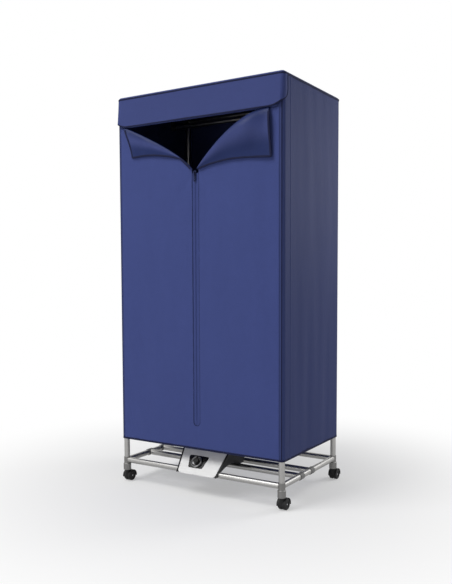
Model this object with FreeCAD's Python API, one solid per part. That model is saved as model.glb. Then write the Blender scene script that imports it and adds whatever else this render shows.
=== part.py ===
# Portable clothes-drying cabinet: a tube frame on four castors, a sewn cloth cover with a
# zipped front, and a fan heater that sits on the base rails and blows up into the cover.
# Front is -Y, +X is the right-hand side seen from the front, +Z is up, and the origin is on
# the floor under the middle of the frame.  Millimetres.
import FreeCAD, Part
import math
import os

os.makedirs("parts", exist_ok=True)
V = FreeCAD.Vector

# ---- whole cabinet ----
overall_height = 1500.0
post_span_x = 694.0        # post axis to post axis, side to side
post_span_y = 440.0        # post axis to post axis, front to back
base_rail_z = 86.0         # axis height of the base ring
mid_rail_z = 800.0         # axis height of the rails that carry the lower hanging rods
rod_drop = 46.0            # upper hanging rods hang this far under the top rails' axis

# ---- tubes and fittings ----
tube_d = 22.0
tube_wall = 1.0
rod_d = 16.0
foot_d = 30.0
foot_top_z = 73.0          # top of the thick part of a foot sleeve
collar_wall = 1.5          # thin collar of a foot sleeve, round the post
collar_rise = 12.0         # how far the collar stands above the base rails' axis
spigot_len = 24.0
spigot_clear = 0.1         # between a spigot and the tube it plugs into
seat_clear = 0.1           # between a coped tube end and what it bears on
block_round = 1.0          # rounding of a corner block's upper edges
clamp_wall = 2.2
clamp_len = 26.0
clip_mouth = 3.0           # a snap-on clamp stops this far short of its tube's outer side
hanger_w = 18.0            # the drop strap that carries an upper rod
hanger_t = 8.0
cup_len = 22.0
upper_rod_short = 9.0      # the upper rods end this far short of the side rails' axes
cross_rail_y = (-75.0, 12.0)   # the two rails across the base
rod_y = (-105.0, 105.0)        # the hanging rods, on both levels

# ---- castors ----
castor_h = 46.0            # floor to the underside of the foot sleeve
wheel_d = 40.0
wheel_w = 12.5
wheel_chamfer = 2.5
hub_recess = 1.6
web_t = 5.0                # upright web between a castor's two wheels
hood_t = 1.8
hood_gap = 1.4             # wheel tread to hood
hood_lap = 1.0             # how far the hood passes the wheels' outer faces
castor_trail = 15.0
stem_d = 8.0
stem_len = 22.0
boss_d = 19.0
swivel_gap = 0.3
axle_d = 5.0
running_clear = 0.06

# ---- cloth cover ----
cloth = 1.0
play = 0.3                 # the gap kept between cloth and what it hangs by
hem_z = 174.0
apron_top_z = 276.0        # lower end of the zip
side_lap = 12.0            # how far a side's cloth goes on past the post's axis, under the front
leaf_inset = 4.0           # a front leaf starts this far in from the post's axis
leaf_top_z = 1383.5
header_low_z = 1382.0
floor_z = 186.0            # cloth floor round the heater's outlet
vee_z = 1187.0             # where the open zip begins
valance_low_z = 1384.0
valance_proud = 11.0       # how far the valance's lower edge stands off the front
valance_corner = 34.0
valance_return = 22.0      # how far the valance runs back along each side
lapel_roll = 7.0           # thickness of the roll where a leaf's top turns outwards
lapel_steps = 7

# the two turned-out corners don't fall alike: the left one lies flat, the right one is full
left_vee_short = 19.0      # the vee's slope ends this far short of the leaf's outer edge
left_vee_bow = 0.72        # under 1, the slope is steep at the zip and flattens outwards
left_vee_full = 0.0        # 0 for a slack slope, 1 for one that bellies up to its end
left_corner_short = 58.0   # outer lower corner of the lapel, in from the leaf's outer edge
left_corner_z = 1268.0
left_level_run = 35.0      # its free edge stops climbing this far before the corner
left_level_bow = 0.38
left_droop = 1.0
left_off = 17.0            # how far its corner stands off the leaf
left_puff = 3.0
right_vee_short = 31.0
right_vee_bow = 0.88
right_vee_full = 1.0
right_corner_short = 24.0
right_corner_z = 1217.0
right_level_run = 119.0
right_level_bow = 0.5
right_droop = 8.0
right_off = 12.0
right_puff = 17.0

# ---- zip ----
tape_half_w = 17.0
tape_t = 0.6
teeth_half_w = 3.2
teeth_t = 1.4
leaf_edge_x = 13.0         # cloth edge beside the zip
mesh_gap = 0.15            # half the gap between the two halves of the zip
slider_w = 13.0
slider_foot_w = 9.0
slider_h = 21.0
slider_t = 1.4
slider_clear = 0.3
bail_t = 2.0
bail_out = 5.0
bail_h = 14.0
bail_bar = 1.6
tab_len = 34.0
tab_w = 9.0
tab_t = 1.5

# ---- heater ----
rake_deg = 41.7            # the panel leans back by this from upright
panel_low_z = 80.0
panel_len = 123.0          # up the slope
panel_half_low = 82.0
panel_half_top = 98.0
panel_t = 3.0
panel_r = 16.0
arm_w = 7.0                # casing beside the panel
casing_round = 8.0
wall = 2.5
heater_top_z = 180.0
heater_back_y = -50.0
arch_z = 113.0             # top of the arch under the casing's sides
duct_y = -102.0
duct_r = 42.0
duct_wall = 2.0
duct_low_z = 131.0
collar_top_z = 192.0
flange_r = 48.0
flange_t = 2.4
grille_ribs = 12
grille_ring_r = 23.0
grille_hub_r = 9.0
grille_t = 3.0
rib_t = 2.0
dial_x = -15.0
dial_s = 51.0              # dial centre, up the slope from the panel's lower edge
dial_r = 23.0
dial_h = 8.5
dial_gap = 0.4             # dial to insert
grip_r = 12.0
grip_h = 14.0
pointer_w = 5.0
shaft_reach = 8.0          # how far the timer's shaft stands into the grip
insert_half_low = 30.5
insert_half_top = 45.0
insert_s = (26.5, 78.0)    # lower and upper edge, up the slope
insert_r = 7.0
insert_depth = 1.0
insert_proud = 0.4
timer_size = 34.0
timer_depth = 14.0
shaft_d = 6.0
plate_t = 2.0              # base plate under the fan motor
intake_pitch = 8.0
intake_slot = 4.0
fan_blades = 7
fan_hub_r = 14.0
fan_h = 13.0
fan_z = 135.0
tip_clear = 1.2
motor_r = 15.0
motor_h = 15.0
motor_shaft_d = 4.0
element_z = 153.0
element_h = 12.0
fin_pitch = 5.6
fin_gap = 4.0
gland_x = 58.0
gland_z = 140.0
gland_r = 8.0
gland_len = 16.0
gland_neck_r = 6.0
lead_bore_r = 3.2

# ---- worked out once ----
post_x = post_span_x / 2
post_y = post_span_y / 2
tube_r = tube_d / 2
half_w = post_x + tube_r + play + cloth
half_d = post_y + tube_r + 2 * play + 2 * cloth
front_y = -half_d                        # outer face of the front cloth
top_rail_z = overall_height - cloth - play - tube_r
foot_r = foot_d / 2
collar_r = tube_r + seat_clear + collar_wall
clamp_r = tube_r + clamp_wall
wrap_in = tube_r + play                  # the cloth goes round a post at this radius
wrap_out = wrap_in + cloth
leaf_out_x = post_x - leaf_inset
mid_rail_inset = clamp_wall + play       # so that the clamps on a mid rail stay inside the cloth
mid_rail_x = post_x - mid_rail_inset
wheel_r = wheel_d / 2
rake = math.radians(rake_deg)


def cylinder(start, end, radius):
    axis = end - start
    return Part.makeCylinder(radius, axis.Length, start, axis)


def tube(start, end, diameter, thickness):
    bore = cylinder(start, end, diameter / 2 - thickness)
    return cylinder(start, end, diameter / 2).cut(bore)


def box(corner, opposite):
    low = [min(a, b) for a, b in zip(corner, opposite)]
    size = [abs(b - a) for a, b in zip(corner, opposite)]
    return Part.makeBox(*size, V(*low))


def polygon_face(points):
    return Part.Face(Part.makePolygon(points + [points[0]]))


def fuse_all(shapes):
    return shapes[0].multiFuse(shapes[1:]).removeSplitter()


def export(name, shapes):
    """Write one sub-part; a list becomes a group of separate solids."""
    solids = shapes if isinstance(shapes, list) else [shapes]
    for solid in solids:
        if not solid.isValid() or len(solid.Solids) != 1:
            raise ValueError(f"{name}: {len(solid.Solids)} solids, valid {solid.isValid()}")
    shape = solids[0] if len(solids) == 1 else Part.makeCompound(solids)
    shape.exportStep(f"parts/{name}.step")


# ---------------------------------------------------------------- frame
corners = {"front_left": (-1, -1), "front_right": (1, -1), "back_left": (-1, 1), "back_right": (1, 1)}


def build_posts():
    low = castor_h + (stem_len + 4.0)
    for name, (sx, sy) in corners.items():
        x, y = sx * post_x, sy * post_y
        export(f"post_{name}", tube(V(x, y, low), V(x, y, top_rail_z - tube_r), tube_d, tube_wall))


def foot_sleeve(sx, sy):
    """Stepped sleeve under a post, with two spigots for the base rails and a bore for the castor."""
    x, y = sx * post_x, sy * post_y
    high = base_rail_z + collar_rise
    profile = [V(0, 0, castor_h), V(foot_r - 1, 0, castor_h), V(foot_r, 0, castor_h + 1),
               V(foot_r, 0, foot_top_z - 2), V(collar_r, 0, foot_top_z), V(collar_r, 0, high), V(0, 0, high)]
    body = polygon_face(profile).revolve(V(0, 0, 0), V(0, 0, 1), 360)
    body.translate(V(x, y, 0))
    spigot_r = tube_r - tube_wall - spigot_clear
    level = V(x, y, base_rail_z)
    reach = collar_r + spigot_len
    spigots = [cylinder(level, level + V(-sx * reach, 0, 0), spigot_r),
               cylinder(level, level + V(0, -sy * reach, 0), spigot_r)]
    body = fuse_all([body] + spigots)
    post_floor = castor_h + stem_len + 4.0
    body = body.cut(cylinder(V(x, y, post_floor), V(x, y, high + 1), tube_r + seat_clear))
    return body.cut(cylinder(V(x, y, castor_h - 1), V(x, y, castor_h + stem_len + 1), stem_d / 2 + running_clear))


def corner_block(sx, sy):
    """Block that closes a top corner: square inside, round as the post outside, with three spigots."""
    r = tube_r
    bend = math.sqrt(0.5) * r
    a, b = V(sx * r, 0, -r), V(0, sy * r, -r)
    points = [b] + [V(i * r, j * r, -r) for i, j in [(-sx, sy), (-sx, -sy), (sx, -sy)]] + [a]
    outline = [Part.LineSegment(p, q).toShape() for p, q in zip(points, points[1:])]
    outline.append(Part.Arc(a, V(sx * bend, sy * bend, -r), b).toShape())
    body = Part.Face(Part.Wire(outline)).extrude(V(0, 0, 2 * r))
    body = body.makeFillet(block_round, [e for e in body.Edges if e.BoundBox.ZMin > r - block_round])
    spigot_r, reach = tube_r - tube_wall - spigot_clear, tube_r + spigot_len
    arms = [V(-sx * reach, 0, 0), V(0, -sy * reach, 0), V(0, 0, -reach)]
    body = fuse_all([body] + [cylinder(V(0, 0, 0), arm, spigot_r) for arm in arms])
    body.translate(V(sx * post_x, sy * post_y, top_rail_z))
    return body


def coped_tube(start, end, diameter, seats):
    """A tube whose ends are cut to bear on round members, given as (point, direction, radius)."""
    shape = tube(start, end, diameter, tube_wall)
    for point, direction, radius in seats:
        far = direction * 60
        shape = shape.cut(cylinder(point - far, point + far, radius + seat_clear))
    return shape


def mitred(shape, start, end):
    """Cut both ends of a base rail to an edge, so that it clears the rail round the corner."""
    along = (end - start).normalize()
    across, rise = along.cross(V(0, 0, 1)) * tube_d, V(0, 0, tube_d)
    tip, back = along * seat_clear, along * tube_d
    plan = [start + tip, start + tip + back + across, end - tip - back + across,
            end - tip, end - tip - back - across, start + tip + back - across]
    return shape.common(polygon_face([p - rise for p in plan]).extrude(rise * 2))


def build_rings():
    up, along_y = V(0, 0, 1), V(0, 1, 0)
    for name, sy in (("front", -1), ("back", 1)):
        y = sy * post_y
        ends = [V(-post_x, y, base_rail_z), V(post_x, y, base_rail_z)]
        rail = coped_tube(*ends, tube_d, [(e, up, collar_r) for e in ends])
        export(f"base_rail_{name}", mitred(rail, *ends))
        reach = post_x - tube_r
        export(f"top_rail_{name}", tube(V(-reach, y, top_rail_z), V(reach, y, top_rail_z), tube_d, tube_wall))
    for name, sx in (("left", -1), ("right", 1)):
        x = sx * post_x
        ends = [V(x, -post_y, base_rail_z), V(x, post_y, base_rail_z)]
        rail = coped_tube(*ends, tube_d, [(e, up, collar_r) for e in ends])
        export(f"base_rail_{name}", mitred(rail, *ends))
        posts = [V(x, -post_y, mid_rail_z), V(x, post_y, mid_rail_z)]
        shift = V(-sx * mid_rail_inset, 0, 0)
        mid = coped_tube(posts[0] + shift, posts[1] + shift, tube_d, [(p, up, clamp_r) for p in posts])
        export(f"mid_rail_{name}", mid)
        reach = post_y - tube_r
        export(f"top_rail_{name}", tube(V(x, -reach, top_rail_z), V(x, reach, top_rail_z), tube_d, tube_wall))
    for name, y in zip(("front", "rear"), cross_rail_y):
        ends = [V(-post_x, y, base_rail_z), V(post_x, y, base_rail_z)]
        export(f"cross_rail_{name}", coped_tube(*ends, tube_d, [(e, along_y, clamp_r) for e in ends]))
    lower, upper = [], []
    reach, z = post_x - upper_rod_short, top_rail_z - rod_drop
    for y in rod_y:
        ends = [V(-mid_rail_x, y, mid_rail_z), V(mid_rail_x, y, mid_rail_z)]
        lower.append(coped_tube(*ends, rod_d, [(e, along_y, clamp_r) for e in ends]))
        upper.append(tube(V(-reach, y, z), V(reach, y, z), rod_d, tube_wall))
    export("hanging_rods_lower", lower)
    export("hanging_rods_upper", upper)


def tee_clamp(point, direction, toward, branch_d, branch_shift=V(0, 0, 0)):
    """Collar round one tube, with a spigot into the end of another."""
    half = direction * (clamp_len / 2)
    collar = cylinder(point - half, point + half, clamp_r)
    spigot_r = branch_d / 2 - tube_wall - spigot_clear
    root = point + branch_shift
    spigot = cylinder(root, root + toward * (clamp_r + spigot_len), spigot_r)
    shape = collar.fuse(spigot).removeSplitter()
    return shape.cut(cylinder(point - direction * clamp_len, point + direction * clamp_len, tube_r + seat_clear))


def post_clip(sx, sy):
    """Snap-on clamp for a mid rail: it opens towards the cloth, where it stays inside the post."""
    post = V(sx * post_x, sy * post_y, mid_rail_z)
    shape = tee_clamp(post, V(0, 0, 1), V(0, -sy, 0), tube_d, V(-sx * mid_rail_inset, 0, 0))
    keep, far = tube_r - clip_mouth, 2 * tube_d
    low, high = mid_rail_z - far, mid_rail_z + far
    side = box((post.x + sx * keep, post.y - far, low), (post.x + sx * far, post.y + far, high))
    end = box((post.x - far, post.y + sy * keep, low), (post.x + far, post.y + sy * far, high))
    mouth = box((post.x, post.y, low), (post.x + sx * far, post.y + sy * far, high))
    return shape.cut(side).cut(end).cut(mouth)


def rod_hanger(sx, y):
    """Clip under a side top rail that drops to a cup for one end of an upper hanging rod."""
    x, rod_z = sx * post_x, top_rail_z - rod_drop
    half = V(0, hanger_w / 2, 0)
    rail, rod_end = V(x, y, top_rail_z), V(x, y, rod_z)
    ring = cylinder(rail - half, rail + half, clamp_r)
    side, corner = V(hanger_t / 2, 0, 0), V(0, 0, -tube_r)
    drop = box(rod_end - half - side, rail + half + side + corner)
    cup = cylinder(rod_end + V(-sx * cup_len, 0, 0), rod_end + V(sx * hanger_t / 2, 0, 0), rod_d / 2 + clamp_wall)
    shape = fuse_all([ring, drop, cup])
    shape = shape.cut(cylinder(rail - half * 2, rail + half * 2, tube_r + seat_clear))
    # the ring is open above and outside, so that nothing stands between the rail and the cloth
    above, outside = top_rail_z + clip_mouth, sx * (post_x + tube_r - clip_mouth)
    near, far = y - hanger_w, y + hanger_w
    shape = shape.cut(box((x - tube_d, near, above), (x + tube_d, far, above + tube_d)))
    shape = shape.cut(box((outside, near, rod_z), (outside + sx * tube_d, far, above)))
    seat = rod_end + V(-sx * (upper_rod_short - spigot_clear), 0, 0)
    return shape.cut(cylinder(seat, rod_end + V(-sx * 2 * cup_len, 0, 0), rod_d / 2 + spigot_clear))


def build_fittings():
    export("foot_sleeves", [foot_sleeve(*s) for s in corners.values()])
    export("corner_blocks", [corner_block(*s) for s in corners.values()])
    clamps, hangers = [], []
    for sx in (-1, 1):
        inward, along_y = V(-sx, 0, 0), V(0, 1, 0)
        for y in cross_rail_y:
            clamps.append(tee_clamp(V(sx * post_x, y, base_rail_z), along_y, inward, tube_d))
        for y in rod_y:
            clamps.append(tee_clamp(V(sx * mid_rail_x, y, mid_rail_z), along_y, inward, rod_d))
            hangers.append(rod_hanger(sx, y))
        clamps += [post_clip(sx, -1), post_clip(sx, 1)]
    export("tee_clamps", clamps)
    export("rod_hangers", hangers)


# ---------------------------------------------------------------- castors
def build_castor(name, sx, sy):
    """Twin-wheel castor: hood with web and stem, fixed axle, and the wheel pair."""
    x, y = sx * post_x, sy * post_y
    axle_y = y + castor_trail
    centre = V(x, axle_y, wheel_r)
    across = V(1, 0, 0)
    inner, outer = wheel_r + hood_gap, wheel_r + hood_gap + hood_t
    half = web_t / 2 + 0.6 + wheel_w + hood_lap
    drum = cylinder(centre - across * half, centre + across * half, outer)
    low_cut = box((x - half - 1, axle_y - outer - 1, -outer), (x + half + 1, axle_y + outer + 1, wheel_r - 4.0))
    boss = cylinder(V(x, y, wheel_r), V(x, y, castor_h - swivel_gap), boss_d / 2)
    hollow = cylinder(centre - across * (half + 1), centre + across * (half + 1), inner)
    shell = fuse_all([drum.cut(low_cut), boss]).cut(hollow)
    web = cylinder(centre - across * (web_t / 2), centre + across * (web_t / 2), inner + 0.5)
    web = web.cut(box((x - 9, axle_y - outer - 1, -outer), (x + 9, axle_y + outer + 1, wheel_r - 7.0)))
    stem = cylinder(V(x, y, castor_h - 3.0), V(x, y, castor_h + stem_len), stem_d / 2)
    hood = fuse_all([shell, web, stem])
    hood = hood.cut(cylinder(centre - across * web_t, centre + across * web_t, axle_d / 2))
    export(f"castor_hood_{name}", hood)
    reach = across * (half - hood_lap - hub_recess)
    export(f"castor_axle_{name}", cylinder(centre - reach, centre + reach, axle_d / 2))
    wheels = []
    for side in (-1, 1):
        near = web_t / 2 + 0.6
        far = near + wheel_w
        bore, hub = axle_d / 2 + running_clear, wheel_r * 0.62
        ring = [V(side * near, 0, bore), V(side * near, 0, wheel_r - 1), V(side * (near + 1), 0, wheel_r),
                V(side * (far - wheel_chamfer), 0, wheel_r), V(side * far, 0, wheel_r - wheel_chamfer),
                V(side * far, 0, hub), V(side * (far - hub_recess), 0, hub - 1),
                V(side * (far - hub_recess), 0, bore)]
        wheel = polygon_face(ring).revolve(V(0, 0, 0), V(1, 0, 0), 360)
        wheel.translate(centre)
        wheels.append(wheel)
    export(f"castor_wheels_{name}", wheels)


# ---------------------------------------------------------------- cloth cover
def side_wrap(sx, high):
    """One side of the cover, in plan: flat, round both posts, and a lap under the front and the back."""
    def run(radius):
        x, far = sx * (post_x + radius), post_y + radius
        lap_x, bend = sx * (post_x - side_lap), radius * math.sqrt(0.5)
        marks = [V(lap_x, -far, hem_z), V(sx * post_x, -far, hem_z), V(x, -post_y, hem_z),
                 V(x, post_y, hem_z), V(sx * post_x, far, hem_z), V(lap_x, far, hem_z)]
        bends = [V(sx * (post_x + bend), sy * (post_y + bend), hem_z) for sy in (-1, 1)]
        flats = [Part.LineSegment(marks[i], marks[i + 1]).toShape() for i in (0, 2, 4)]
        rounds = [Part.Arc(marks[i], bend, marks[i + 1]).toShape() for i, bend in zip((1, 3), bends)]
        return marks, flats + rounds

    inner, inner_edges = run(wrap_in)
    outer, outer_edges = run(wrap_out)
    ends = [Part.LineSegment(outer[i], inner[i]).toShape() for i in (0, -1)]
    outline = Part.Wire(Part.__sortEdges__(inner_edges + outer_edges + ends))
    return Part.Face(outline).extrude(V(0, 0, high - hem_z))


def cover_floor():
    """Cloth floor, square between the posts and cut out round each of them and round the duct."""
    floor_x, floor_y = post_x + tube_r, post_y + tube_r
    along = box((-floor_x, -post_y, floor_z), (floor_x, post_y, floor_z + cloth))
    across = box((-post_x, -floor_y, floor_z), (post_x, floor_y, floor_z + cloth))
    floor = fuse_all([along, across])
    holes = [(V(0, duct_y, floor_z), duct_r + play)]
    holes += [(V(sx * post_x, sy * post_y, floor_z), wrap_in) for sx, sy in corners.values()]
    for point, radius in holes:
        floor = floor.cut(cylinder(point - V(0, 0, cloth), point + V(0, 0, 2 * cloth), radius))
    return floor


def build_cover():
    under_top = overall_height - cloth
    front_in = front_y + cloth
    top = box((-half_w, front_y, under_top), (half_w, half_d, overall_height))
    export("cover_top", top.makeFillet(wrap_out, [e for e in top.Edges if e.BoundBox.ZLength > cloth / 2]))
    export("cover_left_side", side_wrap(-1, under_top))
    export("cover_right_side", side_wrap(1, under_top))
    export("cover_back", box((-leaf_out_x, half_d - cloth, hem_z), (leaf_out_x, half_d, under_top)))
    apron = box((-leaf_out_x, front_y, hem_z), (leaf_out_x, front_in, apron_top_z - play))
    header_y, header_x = front_in + play, post_x - side_lap - play
    header = box((-header_x, header_y, header_low_z), (header_x, header_y + cloth, under_top))
    export("cover_front_bands", [apron, header])
    export("cover_floor", cover_floor())
    build_valance(under_top)


def valance_outline(z, proud):
    """The valance in plan at one height: a side, a rounded corner, the front, and the same back."""
    gap = play + cloth
    x_out, y_out = half_w + gap, front_y - gap - proud
    corner_r = wrap_out + gap
    end_y = -post_y - wrap_out + valance_return
    edges, ends = [], []
    for inset in (0.0, cloth):
        x, y, r = x_out - inset, y_out + inset, corner_r - inset
        bend, turn_y = r * math.sqrt(0.5), y + r
        left = [V(-x, end_y, z), V(-x, turn_y, z), V(-x + r, y, z)]
        right = [V(x - r, y, z), V(x, turn_y, z), V(x, end_y, z)]
        arcs = [V(-x + r - bend, turn_y - bend, z), V(x - r + bend, turn_y - bend, z)]
        run = [Part.LineSegment(left[0], left[1]).toShape(), Part.Arc(left[1], arcs[0], left[2]).toShape(),
               Part.LineSegment(left[2], right[0]).toShape(), Part.Arc(right[0], arcs[1], right[1]).toShape(),
               Part.LineSegment(right[1], right[2]).toShape()]
        edges.append(run)
        ends.append((left[0], right[2]))
    close_right = Part.LineSegment(ends[0][1], ends[1][1]).toShape()
    close_left = Part.LineSegment(ends[1][0], ends[0][0]).toShape()
    return Part.Wire(edges[0] + [close_right] + edges[1][::-1] + [close_left])


def build_valance(under_top):
    """Flap over the front's top edge: it flares out downwards and runs back round both corners."""
    high = under_top - play
    proud = valance_proud - play
    flap = Part.makeLoft([valance_outline(high, 0.0), valance_outline(valance_low_z, proud)], True, True)
    # the lower edge of each side return climbs to its end in a quarter round
    y, z = front_y - valance_proud, valance_low_z + valance_corner
    far = half_w + valance_corner
    for sx in (-1, 1):
        spare = box((sx * (half_w - tube_r), y, valance_low_z - 1), (sx * far, y + 2 * valance_corner, z))
        keep = cylinder(V(-far, y, z), V(far, y, z), valance_corner)
        flap = flap.cut(spare.cut(keep))
    export("cover_valance", flap)


# the measures of each leaf's turned-out corner: -1 is the left leaf
left_corner_x = leaf_out_x - left_corner_short
right_corner_x = leaf_out_x - right_corner_short
leaves = {-1: {"w": leaf_out_x - left_vee_short, "bow": left_vee_bow, "full": left_vee_full,
               "corner": (left_corner_x, left_corner_z), "level_x": left_corner_x - left_level_run, "level_bow": left_level_bow,
               "droop": left_droop, "off": left_off, "puff": left_puff},
          1: {"w": leaf_out_x - right_vee_short, "bow": right_vee_bow, "full": right_vee_full,
              "corner": (right_corner_x, right_corner_z), "level_x": right_corner_x - right_level_run, "level_bow": right_level_bow,
              "droop": right_droop, "off": right_off, "puff": right_puff}}


def vee_height(leaf, x):
    """Height of the vee's slope at a distance from the zip."""
    share = min(x / leaf["w"], 1.0)
    slack, full = share, math.sin(share * math.pi / 2)
    rise = (1 - leaf["full"]) * slack ** leaf["bow"] + leaf["full"] * full ** leaf["bow"]
    return vee_z + (leaf_top_z - vee_z) * rise


def free_edge_height(leaf, x):
    """Height of a lapel's lower edge: it climbs from the vee, levels off, and droops to its corner."""
    corner_x, corner_z = leaf["corner"]
    climb = math.sin(min(x / leaf["level_x"], 1.0) * math.pi / 2) ** leaf["level_bow"]
    droop = max(x - leaf["level_x"], 0.0) / (corner_x - leaf["level_x"])
    return vee_z + (corner_z + leaf["droop"] - vee_z) * climb - leaf["droop"] * droop ** 2


def leaf_panel(sx):
    """Flat cloth of one front leaf, from its side edge to the zip, with the slope of the vee cut off."""
    leaf, y = leaves[sx], front_y
    xs = [leaf_edge_x + (leaf["w"] - leaf_edge_x) * (i / lapel_steps) ** 2 for i in range(lapel_steps + 1)]
    slope = Part.BSplineCurve()
    slope.interpolate([V(sx * x, y, vee_height(leaf, x)) for x in xs])
    top_in, top_out = V(sx * leaf["w"], y, leaf_top_z), V(sx * leaf_out_x, y, leaf_top_z)
    low_out, low_in = V(sx * leaf_out_x, y, apron_top_z), V(sx * leaf_edge_x, y, apron_top_z)
    start = V(sx * leaf_edge_x, y, vee_height(leaf, leaf_edge_x))
    straight = [top_in, top_out, low_out, low_in, start]
    edges = [slope.toShape()] + [Part.LineSegment(p, q).toShape() for p, q in zip(straight, straight[1:])]
    return Part.Face(Part.Wire(edges)).extrude(V(0, cloth, 0))


def lapel_section(sx, share):
    """One cross-section of a turned-out lapel: up the back, round the roll, and down the bellied front."""
    leaf = leaves[sx]
    corner_x, corner_z = leaf["corner"]
    x_top = leaf_edge_x + (leaf["w"] - leaf_edge_x) * share
    x_low = leaf_edge_x + (corner_x - leaf_edge_x) * share
    top = vee_height(leaf, x_top)
    low = min(free_edge_height(leaf, x_low), top - lapel_roll)
    down = V(sx * (x_low - x_top), 0, low - top)
    length = down.Length
    down.normalize()
    start = V(sx * x_top, front_y - play, top)

    def at(along, out):
        return start + down * along + V(0, -out, 0)

    roll = lapel_roll / 2
    off = lapel_roll + (leaf["off"] - lapel_roll) * share
    inner_roll = roll - cloth
    middle = roll + (length - roll) * 0.4
    belly = lapel_roll + (off - lapel_roll) * 0.4 + 0.3 + leaf["puff"] * min(length / (leaf_top_z - corner_z), 1.0)
    a, b, c, d = at(length, off), at(roll, lapel_roll), at(roll, 0), at(roll, cloth)
    e, f = at(roll, lapel_roll - cloth), at(length, off - cloth)
    edges = [Part.Arc(a, at(middle, belly), b).toShape(), Part.Arc(b, at(0.04 * roll, roll), c).toShape(),
             Part.LineSegment(c, d).toShape(), Part.Arc(d, at(roll - 0.96 * inner_roll, roll), e).toShape(),
             Part.Arc(e, at(middle, belly - cloth), f).toShape(), Part.LineSegment(f, a).toShape()]
    return Part.Wire(edges)


def lapel(sx):
    """The leaf's top corner, turned outwards along the vee, as one lofted roll."""
    shares = [(i / (lapel_steps - 1)) ** 1.5 for i in range(lapel_steps)]
    return Part.makeLoft([lapel_section(sx, s) for s in shares], True, False)


def zip_half(sx):
    """Tape behind the leaf's edge, with the strip of teeth along the middle of the front."""
    tape_y = front_y + cloth
    teeth_y = tape_y - teeth_t
    outline = [(mesh_gap, teeth_y), (teeth_half_w, teeth_y), (teeth_half_w, tape_y), (tape_half_w, tape_y),
               (tape_half_w, tape_y + tape_t), (mesh_gap, tape_y + tape_t)]
    points = [V(sx * x, y, apron_top_z + 2.0) for x, y in outline]
    return polygon_face(points).extrude(V(0, 0, vee_z - apron_top_z - 2.0))


def build_leaves():
    for name, sx in (("left", -1), ("right", 1)):
        export(f"{name}_leaf", [leaf_panel(sx), lapel(sx)])
        export(f"zip_{name}_half", zip_half(sx))


def build_slider():
    """Zip slider: a tapered channel over the teeth, with a bail for the pull tab."""
    tape_y = front_y + cloth
    teeth_y = tape_y - teeth_t
    face_y = teeth_y - slider_clear - slider_t
    low = vee_z - slider_h * 0.55
    high = low + slider_h
    waist = low + slider_h * 0.45
    wide, slim = slider_w / 2, slider_foot_w / 2
    outline = [V(-slim, face_y, low), V(slim, face_y, low), V(slim, face_y, waist), V(wide, face_y, waist + 4.0),
               V(wide, face_y, high - 2.5), V(wide - 3.0, face_y, high), V(-wide + 3.0, face_y, high),
               V(-wide, face_y, high - 2.5), V(-wide, face_y, waist + 4.0), V(-slim, face_y, waist)]
    depth = tape_y - slider_clear - face_y
    body = polygon_face(outline).extrude(V(0, depth, 0))
    channel = teeth_half_w + slider_clear
    body = body.cut(box((-channel, face_y + slider_t, low - 1), (channel, tape_y, high + 1)))
    bail_low = low + (slider_h - bail_h) / 2
    bail = box((-bail_t / 2, face_y - bail_out, bail_low), (bail_t / 2, face_y + 0.5, bail_low + bail_h))
    outer = [e for e in bail.Edges if abs(e.BoundBox.YMax - (face_y - bail_out)) < 0.01]
    bail = bail.makeFillet(2.0, [e for e in outer if e.BoundBox.XLength > 1])
    window = box((-bail_t, face_y - bail_out + bail_bar, bail_low + bail_bar),
                 (bail_t, face_y, bail_low + bail_h - bail_bar))
    export("zip_slider", fuse_all([body, bail]).cut(window))
    build_tab(face_y, bail_low + bail_h - bail_bar)


def build_tab(face_y, window_top):
    """Pull tab that hangs on the bail by a round bar at its top."""
    bar_r = bail_bar / 2
    axis_y = face_y - (bail_out - bail_bar) / 2
    axis_z = window_top - bar_r - 0.3
    slot_half, slot_len = bail_t / 2 + 0.4, bail_h
    plate = box((-tab_w / 2, axis_y - tab_t / 2, axis_z - tab_len), (tab_w / 2, axis_y + tab_t / 2, axis_z))
    low_edges = [e for e in plate.Edges if e.BoundBox.YLength > 1 and e.BoundBox.ZMax < axis_z - tab_len + 0.1]
    plate = plate.makeFillet(3.5, low_edges)
    plate = plate.cut(box((-slot_half, axis_y - 3, axis_z - slot_len), (slot_half, axis_y + 3, axis_z + 3)))
    grip = cylinder(V(0, axis_y - 3, axis_z - tab_len + 8), V(0, axis_y + 3, axis_z - tab_len + 8), 2.2)
    bar = cylinder(V(-tab_w / 2, axis_y, axis_z), V(tab_w / 2, axis_y, axis_z), bar_r)
    export("zip_pull_tab", fuse_all([plate.cut(grip), bar]))


# ---------------------------------------------------------------- heater
def panel_base():
    """Lower edge of the raked front plane: it clears the front rail by the panel and a little play."""
    off = tube_r + play + panel_t
    y = -post_y - (off - (panel_low_z - base_rail_z) * math.sin(rake)) / math.cos(rake)
    return V(0, y, panel_low_z)


def to_panel(shape):
    """Carry a shape drawn flat (X across, Y up the slope, Z outwards) onto the raked plane."""
    turn = FreeCAD.Rotation(V(1, 0, 0), 90 - rake_deg)
    shape.Placement = FreeCAD.Placement(panel_base(), turn).multiply(shape.Placement)
    return shape


def on_plane(s, n):
    """The (y, z) of a point s up the slope and n outwards from the raked plane."""
    base = panel_base()
    return (base.y + s * math.sin(rake) - n * math.cos(rake), base.z + s * math.cos(rake) + n * math.sin(rake))


def tapered_plate(half_low, half_top, s_low, s_top, radius, n_low, n_high, x=0.0):
    """Flat trapezoid with rounded corners, between two depths below the raked plane."""
    points = [V(x - half_low, s_low, n_low), V(x + half_low, s_low, n_low),
              V(x + half_top, s_top, n_low), V(x - half_top, s_top, n_low)]
    solid = polygon_face(points).extrude(V(0, 0, n_high - n_low))
    uprights = [e for e in solid.Edges if e.BoundBox.ZLength > 0.9 * (n_high - n_low)]
    return solid.makeFillet(radius, uprights)


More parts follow.
